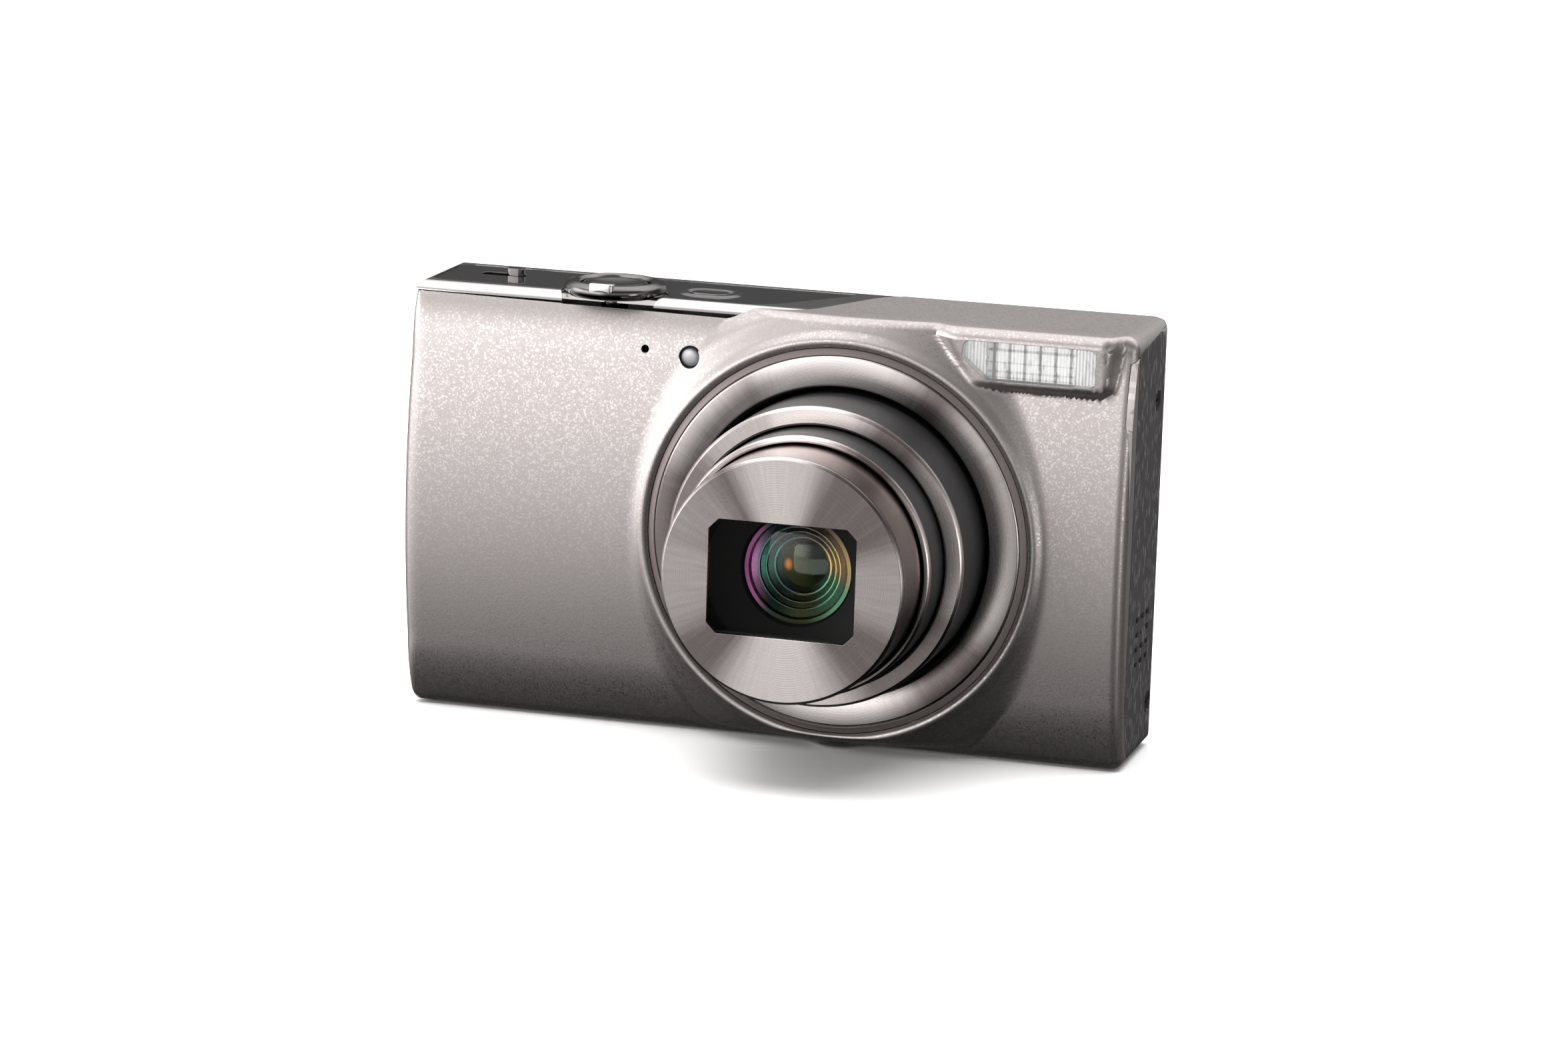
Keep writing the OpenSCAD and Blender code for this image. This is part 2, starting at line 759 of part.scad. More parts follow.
module battery_holder() {
    x1 = battery_x + battery_w + 0.05;
    y0 = battery_y - 0.05;
    y1 = battery_y + battery_t + 0.05;
    color("#1e1f21") difference() {
        block([holder_x0, y0 - holder_wall, battery_z + 2.6], [x1 + holder_wall, y1 + holder_wall,
            battery_z + battery_h + 1.2]);
        block([battery_x - 0.05, y0, battery_z - 1], [x1, y1, battery_z + battery_h + 0.2]);
        // grip relief, so that the front wall is open in the middle
        block([battery_x + 6, y0 - 3, battery_z], [x1 - 6, y0 + 0.1, battery_z + battery_h - 6]);
    }
}

// Sprung catch that holds the battery in by its right edge.
module battery_latch() {
    x1 = battery_x + battery_w + holder_wall + 0.35;
    color("#d0692c") {
        block([x1, -5.4, 3.0], [x1 + 0.6, -1.8, 12]);
        block([x1 - 2.0, -5.4, 3.0], [x1 + 0.3, -1.8, 3.9]);
    }
}

module card_slot() {
    color("#8d8f93") difference() {
        block([-44.4, -0.45, 8], [-17.6, 2.4, 38]);
        block([-43.4, -0.2, 3], [-18.6, 2.1, 37.2]);
    }
}

module memory_card() {
    color("#25282d") along_y(-0.1, 2.0) polygon([
        [-43, 4.8], [-19, 4.8], [-19, 33.8], [-22, 36.8], [-43, 36.8]]);
}

module tripod_socket() {
    color("#c9c9cc") translate([tripod_x, 0.5, 0]) difference() {
        union() {
            cylinder(r = 4.6, h = 5.4);
            translate([0, 0, 1.0]) cylinder(r = 5.4, h = 1.0);
        }
        translate([0, 0, -1]) cylinder(r = tripod_r, h = tripod_depth + 1);
        translate([0, 0, -eps]) cylinder(r1 = tripod_r + 0.4, r2 = tripod_r, h = 0.4);
    }
}

module strap_bar() {
    color("#c4c4c8") translate([-half_w + 1.3, 1.5, 46.4]) cylinder(r = 0.8, h = 8.4);
}

module terminal_cover() {
    color("#474646") {
        intersection() {
            form();
            block([-half_w - 1, flap_y0, flap_z0], [-half_w + 0.8, flap_y1, flap_z1]);
        }
    }
}

// Carriage that slides outwards with the hinge pin of the battery door.
module door_hinge() {
    color("#b8b8bc") {
        for (y = [-6.2, 6.8]) {
            block([pivot_x, y, 1.3], [-38, y + 1, 2.6]);
            bar_y(pivot_x, pivot_z, 0.6, y, y + 1);
        }
        block([-40, -5.3, 2.1], [-38, 6.9, 2.6]);
        bar_y(pivot_x, pivot_z, 0.45, -5.3, 6.9);
    }
}

module battery_door() {
    lugs = [-4.6, 4.2];
    color("#aaa29f") difference() {
        union() {
            intersection() {
                form();
                union() {
                    block([-half_w - 1, door_y0 + door_gap, -1], [door_x1, door_y1 - door_gap, door_t]);
                    block([-half_w - 1, door_y0 + door_gap, -1],
                        [-half_w + 1.2, door_y1 - door_gap, lip_h]);
                }
            }
            for (y = lugs) {
                bar_y(pivot_x, pivot_z, 1.0, y, y + 2);
                block([pivot_x - 1, y, 0.6], [pivot_x + 1, y + 2, pivot_z]);
            }
        }
        for (y = lugs) bar_y(pivot_x, pivot_z, 0.5, y - 0.5, y + 2.5);
        // thumb ridges
        for (x = [-18:1.2:-14]) block([x, -2.5, -0.5], [x + 0.5, 3.5, 0.3]);
    }
}

// ---------- controls ----------

module mode_switch() {
    color("#2a2a2c") {
        along_z(top_z - 0.5, top_z + 0.95) polygon(box_outline(-39.9, 2.1, -37.5, 3.9, 0.7));
        block([-40.6, 1.4, top_z - 1.8], [-36.8, 4.6, top_z - 1.35]);
        block([-39.1, 2.6, top_z - 1.4], [-38.3, 3.4, top_z - 0.4]);
    }
}

// Ring with a finger nub, on a dished web and a sleeve that turns in the top cover.
module zoom_lever() {
    z0 = top_z - 0.3;
    z1 = top_z + lever_rise;
    color("#3b3b3d") translate([shutter_x, shutter_y, 0]) {
        rotate_extrude() polygon([
            [stem_r + 0.2, top_z - 2.2], [lever_sleeve_r + 0.4, top_z - 2.2],
            [lever_sleeve_r + 0.4, top_z - 1.5], [lever_sleeve_r, top_z - 1.5],
            [lever_sleeve_r, z0], [lever_r - 0.8, z0], [lever_r, z0 + 0.9],
            [lever_r - 0.05, z0 + 1.25], [lever_r - 0.7, z1], [lever_r - 1.6, z1 - 0.05],
            [shutter_r + 0.25, z1 - 0.5], [shutter_r + 0.25, top_z + 0.1],
            [stem_r + 0.2, top_z + 0.1]]);
        // finger nub over the front edge
        along_z(top_z + 0.3, z1 + 0.4) polygon(box_outline(-1.7, -lever_r + 0.3, 1.7, -shutter_r - 0.6, 0.5));
    }
}

module shutter_button() {
    color("#2f2f31") translate([shutter_x, shutter_y, 0]) rotate_extrude() polygon([
        [0, top_z - 2.6], [stem_r, top_z - 2.6], [stem_r, top_z + 0.6], [shutter_r, top_z + 0.6],
        [shutter_r, top_z + 1.0], [shutter_r - 0.3, top_z + 1.25], [2.2, top_z + 1.05],
        [0, top_z + 1.0]]);
}

module power_button() {
    color("#262628") {
        along_z(top_z - 1.2, top_z + 0.15) power_outline(0);
        along_z(top_z - 1.9, top_z - 1.3) power_outline(0.7);
        along_z(top_z - 1.35, top_z - 1.15) power_outline(-0.4);
    }
}

// A round key of the back: a cap through the cover and a flange behind it.
module round_button(b, proud) {
    bar_y(b[0], b[1], b[2], 9.4, rear_y + proud);
    bar_y(b[0], b[1], b[2] + 0.7, 9.3, 9.8);
}

module movie_button() {
    color("#7a2a2a") round_button(round_buttons[0], 0.3);
}

module playback_button() {
    color("#8f8987") round_button(round_buttons[1], 0.25);
}

module link_button() {
    color("#8f8987") round_button(round_buttons[2], 0.25);
}

module menu_button() {
    color("#8f8987") round_button(round_buttons[3], 0.25);
}

module nav_ring() {
    color("#9a9391") translate([pad_x, 0, pad_z]) difference() {
        rotate([-90, 0, 0]) rotate_extrude() polygon([
            [set_r + 0.35, 9.5], [pad_r, 9.5], [pad_r, rear_y + 0.1], [pad_r - 0.5, rear_y + 0.4],
            [set_r + 1, rear_y + 0.25], [set_r + 0.35, rear_y]]);
        for (a = [0:90:270]) rotate([0, a, 0]) translate([6.6, rear_y + 0.2, -0.3]) cube([1, 1, 0.6]);
    }
}

// Rocker plate that the four-way pad tilts on.
module nav_pivot() {
    color("#58595b") translate([pad_x, 0, pad_z]) difference() {
        rotate([-90, 0, 0]) rotate_extrude() polygon([
            [set_r + 0.4, 8.95], [7.4, 8.95], [7.4, 9.2], [set_r + 0.4, 9.2]]);
    }
}

module set_button() {
    color("#8f8987") {
        bar_y(pad_x, pad_z, set_r, 9.2, rear_y + 0.35);
        bar_y(pad_x, pad_z, 1.4, 9.0, 9.3);
    }
}

front_cover();
top_cover();
top_panel();
rear_cover();
side_cover_right();
side_cover_left();
chassis_frame();
lens_trim_ring();
lens_decor_ring();
lens_base_barrel();
barrel_1_tube();
barrel_1_ring();
barrel_2_tube();
barrel_2_ring();
barrel_3_tube();
lens_face_plate();
barrier_blade_upper();
barrier_blade_lower();
barrier_leaf_upper();
barrier_leaf_lower();
lens_hood();
front_lens();
inner_lens();
image_sensor();
zoom_motor();
flash_window();
flash_reflector();
xenon_tube();
flash_capacitor();
af_lamp_lens();
microphone();
main_board();
key_board();
lcd_panel();
lcd_window();
battery();
battery_holder();
battery_latch();
memory_card();
card_slot();
tripod_socket();
speaker();
strap_bar();
usb_port();
hdmi_port();
terminal_cover();
case_screws();
mode_switch();
zoom_lever();
shutter_button();
power_button();
movie_button();
playback_button();
link_button();
menu_button();
nav_ring();
nav_pivot();
set_button();
door_hinge();
battery_door();
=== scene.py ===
"""Looks of a compact digital camera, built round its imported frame.

Sizes are written in millimetres in the modelling code and become metres when a
piece is finished. The lens looks along -Y, +Z is up and +X is to the right of
someone who faces the lens.
"""

import json
import math

import bmesh
import bpy
from mathutils import Matrix, Vector

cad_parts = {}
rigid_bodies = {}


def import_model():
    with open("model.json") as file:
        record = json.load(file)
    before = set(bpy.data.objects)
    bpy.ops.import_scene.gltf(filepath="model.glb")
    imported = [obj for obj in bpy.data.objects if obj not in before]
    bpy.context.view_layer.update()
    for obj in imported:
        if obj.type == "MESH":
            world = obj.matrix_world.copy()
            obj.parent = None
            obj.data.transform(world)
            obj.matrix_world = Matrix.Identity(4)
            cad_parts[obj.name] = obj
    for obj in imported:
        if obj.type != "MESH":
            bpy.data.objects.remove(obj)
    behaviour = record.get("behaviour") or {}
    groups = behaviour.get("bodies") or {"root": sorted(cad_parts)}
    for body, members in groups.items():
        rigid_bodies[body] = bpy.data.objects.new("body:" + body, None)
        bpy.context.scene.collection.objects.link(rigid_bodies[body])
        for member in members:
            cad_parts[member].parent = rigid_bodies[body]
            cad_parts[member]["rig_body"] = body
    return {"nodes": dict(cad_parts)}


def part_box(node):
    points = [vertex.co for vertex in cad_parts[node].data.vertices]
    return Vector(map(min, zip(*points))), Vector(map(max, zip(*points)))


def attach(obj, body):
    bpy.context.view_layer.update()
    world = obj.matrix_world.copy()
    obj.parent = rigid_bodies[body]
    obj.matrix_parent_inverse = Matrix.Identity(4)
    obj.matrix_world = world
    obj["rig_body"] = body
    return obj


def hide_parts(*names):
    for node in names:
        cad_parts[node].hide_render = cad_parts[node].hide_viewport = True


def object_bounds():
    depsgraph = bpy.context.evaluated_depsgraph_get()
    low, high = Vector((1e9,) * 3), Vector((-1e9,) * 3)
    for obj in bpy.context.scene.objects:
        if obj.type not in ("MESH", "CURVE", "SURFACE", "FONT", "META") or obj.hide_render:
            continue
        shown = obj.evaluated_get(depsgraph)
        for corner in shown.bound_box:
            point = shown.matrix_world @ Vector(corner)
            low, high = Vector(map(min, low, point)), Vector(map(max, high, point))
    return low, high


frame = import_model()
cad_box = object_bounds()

bl_info = {
    "name": "Compact Camera Looks",
    "version": (1, 0, 0),
    "blender": (4, 5, 0),
    "location": "3D View > Sidebar > Compact Camera",
    "description": "Finishes and fine shapes of a compact camera round its frame",
    "category": "Object",
}

MM = 0.001


# ---------- places taken from the frame ----------

def low(node):
    """The lowest corner of a frame node, in millimetres."""
    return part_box(node)[0] / MM


def high(node):
    """The highest corner of a frame node, in millimetres."""
    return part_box(node)[1] / MM


def middle(node):
    """The middle of a frame node's box, in millimetres."""
    return (low(node) + high(node)) / 2


LENS = middle("lens_face_plate")
LENS_X, LENS_Z = LENS.x, LENS.z
RING_FRONT = low("lens_decor_ring").y
HOLE_R = (high("lens_trim_ring").x - low("lens_trim_ring").x) / 2 + 0.05
LEFT, RIGHT = cad_box[0].x / MM, cad_box[1].x / MM
TOP = high("top_cover").z
SHUTTER = middle("shutter_button")
SEAM = 4.5              # where the front cover meets the rear cover, in Y
FACE_Y = -10.6          # the front face at its fullest
FACE_Z = 29             # the height at which it is fullest
PANEL_PAINT_Y = -6.8    # the end panel is painted like the front before this
GLASS_R = 7.1           # radius of the front lens


# ---------- shader sums ----------

class Wire:
    """A shader socket that can be used in sums."""

    def __init__(self, tree, socket):
        self.tree = tree
        self.socket = socket

    def sum(self, operation, *terms):
        return self.tree.put(
            "ShaderNodeMath", {"operation": operation}, dict(enumerate(terms)))

    def __add__(self, other):
        return self.sum("ADD", self, other)

    def __radd__(self, other):
        return self.sum("ADD", other, self)

    def __sub__(self, other):
        return self.sum("SUBTRACT", self, other)

    def __rsub__(self, other):
        return self.sum("SUBTRACT", other, self)

    def __mul__(self, other):
        return self.sum("MULTIPLY", self, other)

    def __truediv__(self, other):
        return self.sum("DIVIDE", self, other)

    def __pow__(self, other):
        return self.sum("POWER", self, other)

    def size(self):
        return self.sum("ABSOLUTE", self)

    def waves(self, pitch):
        """A sine along a length in metres, its pitch in millimetres."""
        turns = self * (2 * math.pi / (pitch * MM))
        return turns.sum("SINE", turns)


class Tree:
    """The node tree of one finish."""

    def __init__(self, owner):
        owner.use_nodes = True
        self.nodes = owner.node_tree.nodes
        self.links = owner.node_tree.links
        self.nodes.clear()

    def put(self, kind, settings=None, inputs=None, out=0):
        """Add a node of a kind, its settings first and then its sockets."""
        node = self.nodes.new(kind)
        for name, value in (settings or {}).items():
            if name == "stops":
                ramp = node.color_ramp
                while len(ramp.elements) < len(value):
                    ramp.elements.new(0.5)
                for element, (place, colour) in zip(ramp.elements, value):
                    element.position = place
                    element.color = colour if isinstance(colour, tuple) else grey(colour)
            elif name == "smooth":
                node.color_ramp.interpolation = value
            else:
                setattr(node, name, value)
        for name, value in (inputs or {}).items():
            socket = node.inputs[name]
            if isinstance(value, Wire):
                self.links.new(value.socket, socket)
            else:
                socket.default_value = value
        return Wire(self, node.outputs[out]) if node.outputs else node

    def place(self):
        """Object coordinates."""
        return self.put("ShaderNodeTexCoord", out="Object")

    def parts(self, vector):
        """The X, Y and Z of a vector."""
        x = self.put("ShaderNodeSeparateXYZ", {}, {0: vector})
        outputs = x.socket.node.outputs
        return x, Wire(self, outputs[1]), Wire(self, outputs[2])

    def stretched(self, vector, scale):
        """Coordinates scaled along each axis."""
        return self.put("ShaderNodeVectorMath", {"operation": "MULTIPLY"}, {0: vector, 1: scale})

    def about(self, centre):
        """Object X and Z from a centre in millimetres, and the distance from it, in metres."""
        x, _, z = self.parts(self.place())
        dx, dz = x - centre.x * MM, z - centre.z * MM
        return dx, dz, (dx * dx + dz * dz) ** 0.5

    def noise(self, vector, size, detail=2.0, roughness=0.5):
        """Soft noise whose lumps are about a size wide, in millimetres."""
        return self.put("ShaderNodeTexNoise", {}, {
            "Vector": vector, "Scale": 1 / (size * MM), "Detail": detail, "Roughness": roughness})

    def cells(self, vector, size):
        """A random number for each small cell, about a size wide."""
        colour = self.put("ShaderNodeTexVoronoi", {}, {
            "Vector": vector, "Scale": 1 / (size * MM)}, "Color")
        return self.parts(colour)[0]

    def ramp(self, value, stops, smooth="LINEAR"):
        return self.put("ShaderNodeValToRGB", {"stops": stops, "smooth": smooth}, {"Fac": value})

    def step(self, value, start, end):
        """A soft step from 0 at start to 1 at end."""
        return self.put("ShaderNodeMapRange", {"interpolation_type": "SMOOTHSTEP"}, {
            "Value": value, "From Min": start, "From Max": end, "To Min": 0.0, "To Max": 1.0})

    def blend(self, factor, a, b):
        """Two colours mixed."""
        return self.put("ShaderNodeMix", {"data_type": "RGBA"}, {0: factor, 6: a, 7: b}, 2)

    def bump(self, height, depth, strength=1.0):
        """A normal from a height of 0 to 1 that stands for a depth in millimetres."""
        return self.put("ShaderNodeBump", {}, {
            "Strength": strength, "Distance": depth * MM, "Height": height})

    def surface(self, inputs):
        """The finished shader."""
        shader = self.put("ShaderNodeBsdfPrincipled", {}, inputs)
        self.put("ShaderNodeOutputMaterial", {}, {"Surface": shader})


def colour(r, g, b):
    return (r, g, b, 1.0)


def grey(level):
    return colour(level, level, level)


def brighter(base, gain, lift=0.0):
    """A colour with its three parts scaled and lifted."""
    return colour(*(min(1.0, c * gain + lift) for c in base[:3]))


def finish(name):
    """A new empty finish and its tree."""
    material = bpy.data.materials.new(name)
    return material, Tree(material)


# ---------- finishes ----------

def flake_paint(name, base, light, flake=0.2, depth=0.012, rough=0.40, gain=0.30):
    """Satin metallic paint with fine flakes."""
    material, t = finish(name)
    place = t.place()
    spark = t.cells(place, flake)
    glint = t.step(spark, 0.55, 1.0)
    grain = t.noise(place, flake * 1.6, 3.0)
    drift = t.noise(place, 14.0, 2.0)
    tone = t.blend(glint * gain + (drift - 0.5) * 0.12, base, light)
    t.surface({
        "Base Color": tone, "Metallic": 0.97,
        "Roughness": rough - glint * 0.10 + (grain - 0.5) * 0.10,
        "Coat Weight": 0.06, "Coat Roughness": 0.28,
        "Normal": t.bump(grain * 0.7 + spark * 0.3, depth, 0.55)})
    return material


def plated(name, base, rough=0.16):
    """Smooth plated metal with a trace of handling marks."""
    material, t = finish(name)
    place = t.place()
    smear = t.noise(place, 9.0, 3.0, 0.6)
    fine = t.noise(place, 0.12, 2.0)
    t.surface({
        "Base Color": t.blend(smear * 0.5, base, brighter(base, 0.86)),
        "Metallic": 1.0, "Roughness": rough + (smear - 0.5) * 0.08,
        "Normal": t.bump(fine, 0.002, 0.4)})
    return material


def gloss(name, base, rough=0.1, lumps=6.0, speck=0.2, coat=0.6, depth=0.002):
    """Glossy moulded plastic with faint flow and dust."""
    material, t = finish(name)
    place = t.place()
    flow = t.noise(place, lumps, 3.0, 0.55)
    dust = t.step(t.cells(place, speck), 0.985, 1.0)
    t.surface({
        "Base Color": t.blend(flow * 0.35 + dust * 0.3, base, brighter(base, 1.6, 0.004)),
        "Roughness": rough + (flow - 0.5) * 0.06 + dust * 0.2,
        "Coat Weight": coat, "Coat Roughness": 0.03,
        "Normal": t.bump(flow, depth, 0.3)})
    return material


def satin(name, base, rough=0.45, grain=0.22, depth=0.01, metal=0.0):
    """Satin moulded or anodised surface with a fine grain."""
    material, t = finish(name)
    place = t.place()
    fine = t.noise(place, grain, 4.0, 0.65)
    drift = t.noise(place, 8.0, 2.0)
    t.surface({
        "Base Color": t.blend(fine * 0.55 + (drift - 0.5) * 0.25, base, brighter(base, 1.5, 0.006)),
        "Metallic": metal, "Roughness": rough + (fine - 0.5) * 0.16,
        "Normal": t.bump(fine, depth, 0.5)})
    return material


def spun_metal(name, dark, pale, lobes, rough=0.26, pitch=0.16, groove=0.5):
    """Metal turned on a lathe: fine rings, and a cone of light and dark streaks that is painted
    highlight and shade in its colour.

    lobes are (angle in degrees, half width, strength) of the painted highlight streaks.
    """
    material, t = finish(name)
    dx, dz, radius = t.about(LENS)
    angle = dz.sum("ARCTAN2", dz, dx)
    # Painted highlight: bright lobes by angle round the lens, laid into the base colour.
    glow = 0.0
    for middle_angle, width, strength in lobes:
        away = angle - math.radians(middle_angle)
        near = away.sum("COSINE", away)
        painted_lobe = t.step(near, math.cos(math.radians(width)), 1.0) * strength
        glow = painted_lobe.sum("MAXIMUM", glow, painted_lobe)
    spoke = t.put("ShaderNodeCombineXYZ", {}, {
        0: dx / radius, 1: dz / radius, 2: radius * 6.0})
    # Painted sheen: radial noise streaks of the spun finish, laid into the base colour.
    painted_sheen_streak = t.put("ShaderNodeTexNoise", {}, {
        "Vector": spoke, "Scale": 26.0, "Detail": 3.0, "Roughness": 0.6})
    turning = t.put("ShaderNodeTexNoise", {"noise_dimensions": "1D"}, {
        "W": radius / (pitch * MM), "Scale": 1.0, "Detail": 2.0, "Roughness": 0.6})
    wave = radius.waves(pitch)
    level = glow + (painted_sheen_streak - 0.5) * 0.34 + (turning - 0.5) * 0.20 + wave * 0.03
    t.surface({
        "Base Color": t.blend(level, dark, pale),
        "Metallic": 1.0,
        "Roughness": rough + (turning - 0.5) * 0.12,
        "Normal": t.bump(wave * 0.5 + turning * 0.5, 0.004, groove)})
    return material


def dashed_panel(name):
    """Charcoal panel with short upright flecks, like fine rain."""
    material, t = finish(name)
    place = t.place()
    fleck = t.cells(t.stretched(place, (0.0, 1.0, 0.22)), 0.24)
    fine = t.noise(t.stretched(place, (1.0, 1.0, 0.4)), 0.3, 3.0)
    bright = t.step(fleck, 0.84, 0.94)
    y = t.parts(place)[1]
    past = y - PANEL_PAINT_Y * MM
    edge = t.step(past, 0.0, -0.0002)
    seam = t.step(past.size(), 0.00018, 0.00008)
    rain = t.blend(bright * 0.6 + (fine - 0.5) * 0.2,
                   colour(0.05, 0.046, 0.048), colour(0.26, 0.25, 0.26))
    t.surface({
        "Base Color": t.blend(seam, t.blend(edge, rain, tuple(settings().paint)), grey(0.02)),
        "Metallic": edge * 0.6 + 0.35, "Roughness": 0.5 - bright * 0.12 - edge * 0.1,
        "Normal": t.bump(fine, 0.02, 0.6)})
    return material


def circuit(name):
    """Green board with fine traces and pads."""
    material, t = finish(name)
    place = t.place()
    pads = t.cells(place, 1.1)
    lines = t.noise(t.stretched(place, (1.0, 1.0, 4.0)), 1.2, 2.0)
    trace = t.step(lines, 0.52, 0.56)
    metal = t.step(pads, 0.93, 0.95)
    board = t.blend(trace, colour(0.010, 0.075, 0.028), colour(0.02, 0.13, 0.05))
    t.surface({"Base Color": t.blend(metal, board, colour(0.75, 0.58, 0.25)), "Metallic": metal,
               "Roughness": 0.45 - metal * 0.2, "Normal": t.bump(trace, 0.03, 0.5)})
    return material


def lamp_finish(name):
    """Grey clear lamp lens, darker toward its rim and lighter toward its top by painted light."""
    material, t = finish(name)
    _, dz, metres = t.about(middle("af_lamp_lens"))
    radius = metres / MM
    edge = t.step(radius, 0.55, 1.3)
    # Painted light: the lens is lighter toward its top.
    rise = t.step(dz, -0.0012, 0.0012)
    glass = t.blend(rise, colour(0.30, 0.31, 0.33), colour(0.46, 0.47, 0.50))
    t.surface({"Base Color": t.blend(edge, glass, colour(0.10, 0.105, 0.115)),
               "Roughness": 0.12 + edge * 0.1, "Metallic": 0.2,
               "Coat Weight": 1.0, "Coat Roughness": 0.02})
    return material


def painted_reflection_well(name):
    """Stepped inside of the lens, with the coloured reflections of the coated glass before it
    painted on by angle.
    """
    material, t = finish(name)
    dx, dz, metres = t.about(LENS)
    radius = metres / MM
    angle = dz.sum("ARCTAN2", dz, dx) / (2 * math.pi) + 0.5
    # Painted reflection: coating colours by angle round the lens axis.
    painted_coating_reflection = t.ramp(angle, [
        (0.0, colour(0.05, 0.16, 0.13)), (0.14, colour(0.02, 0.05, 0.04)),
        (0.27, colour(0.05, 0.055, 0.02)), (0.42, colour(0.13, 0.32, 0.20)),
        (0.52, colour(0.50, 0.36, 0.16)), (0.68, colour(0.07, 0.055, 0.045)),
        (0.84, colour(0.015, 0.03, 0.03)), (0.93, colour(0.035, 0.15, 0.13)),
        (1.0, colour(0.05, 0.16, 0.13))], "EASE")
    # Painted reflection: a magenta band at the left of the outer steps.
    rim = t.step(radius, 4.9, 6.3)
    left = t.step(dx, -0.0035, -0.0062)
    painted_reflection_tint = t.blend(rim * left, painted_coating_reflection, colour(0.42, 0.13, 0.33))
    fine = t.noise(t.place(), 0.3, 3.0)
    t.surface({"Base Color": t.blend(fine * 0.3, painted_reflection_tint, grey(0.01)), "Metallic": 0.75,
               "Roughness": 0.24 + fine * 0.1})
    return material


def pupil_finish(name):
    """Dark green inner glass with a painted amber glint at its left, which also glows."""
    material, t = finish(name)
    dx, dz = (length / MM for length in t.about(LENS)[:2])
    glint_x, glint_z = dx + 2.15, (dz + 0.15) * 0.75
    # Painted highlight: an amber glint, put in the base colour and the emission.
    glint = t.step((glint_x * glint_x + glint_z * glint_z) ** 0.5, 0.75, 0.1)
    green = t.blend(t.step(dx + dz * 0.4, -3.0, 2.4),
                    colour(0.05, 0.055, 0.006), colour(0.004, 0.014, 0.008))
    t.surface({"Base Color": t.blend(glint, green, colour(0.75, 0.25, 0.03)),
               "Metallic": 0.3, "Roughness": 0.06, "Emission Strength": 0.35,
               "Emission Color": t.blend(glint, grey(0), colour(0.7, 0.22, 0.03))})
    return material


def front_glass(name):
    """Clear coated glass."""
    material, t = finish(name)
    flow = t.noise(t.place(), 5.0)
    t.surface({"Base Color": t.blend(flow * 0.2, colour(0.96, 1.0, 0.97), colour(0.9, 0.97, 1.0)),
               "Roughness": 0.01 + flow * 0.01, "Transmission Weight": 1.0, "IOR": 1.12,
               "Coat Weight": 0.5, "Coat Roughness": 0.01})
    return material


def flash_clear(name):
    """Clear plastic with upright ribs on its inside."""
    material, t = finish(name)
    x = t.parts(t.place())[0]
    across = x / MM
    ends = t.step(across, 30.5, 29.5) + t.step(across, 41.5, 42.5)
    t.surface({"Base Color": colour(0.97, 0.98, 0.98), "Roughness": 0.04 + ends * 0.04,
               "Alpha": 0.10 + ends * 0.10,
               "Normal": t.bump(x.waves(0.42) * ends * 0.5 + 0.5, 0.05, 0.5)})
    return material


def flash_grid(name):
    """Bright ribbed mirror of the flash with a faint painted glow, crossed by lines and darker
    cells.
    """
    material, t = finish(name)
    place = t.place()
    x, _, z = t.parts(place)
    first, pitch = 31.0, 2.05
    across = x / MM
    count = (across - first) / pitch
    cell = count.sum("FRACT", count)
    uprights = t.step(cell, 0.15, 0.04) + t.step(cell, 0.85, 0.96)
    inside = t.step(across, 30.0, 30.3) * t.step(across, 42.0, 41.6)
    rows = 0.0
    for height, width, strength in (
            (55.35, 0.32, 0.9), (53.7, 0.16, 0.55), (52.5, 0.22, 0.5), (51.75, 0.15, 0.6)):
        line = t.step((z / MM - height).size(), width, width * 0.2) * strength
        rows = line.sum("MAXIMUM", rows, line)
    fine = x.waves(0.44) * 0.5 + 0.5
    wobble = t.noise(t.stretched(place, (1.0, 1.0, 0.25)), 0.5, 3.0, 0.7)
    shade = (uprights * inside * 0.75 + rows * inside * 0.55 + (1 - inside) * fine * 0.75
             + t.step(wobble, 0.48, 0.70) * 0.6 + t.step(across, 31.6, 31.2) * inside * 0.5)
    t.surface({"Base Color": t.blend(shade, colour(0.62, 0.63, 0.63), grey(0.02)),
               # The emission is a painted glow: the flash is not firing.
               "Metallic": 0.25, "Roughness": 0.25, "Emission Strength": 0.14,
               "Emission Color": t.blend(shade, grey(1), grey(0.02)),
               "Normal": t.bump(fine, 0.05, 0.6)})
    return material


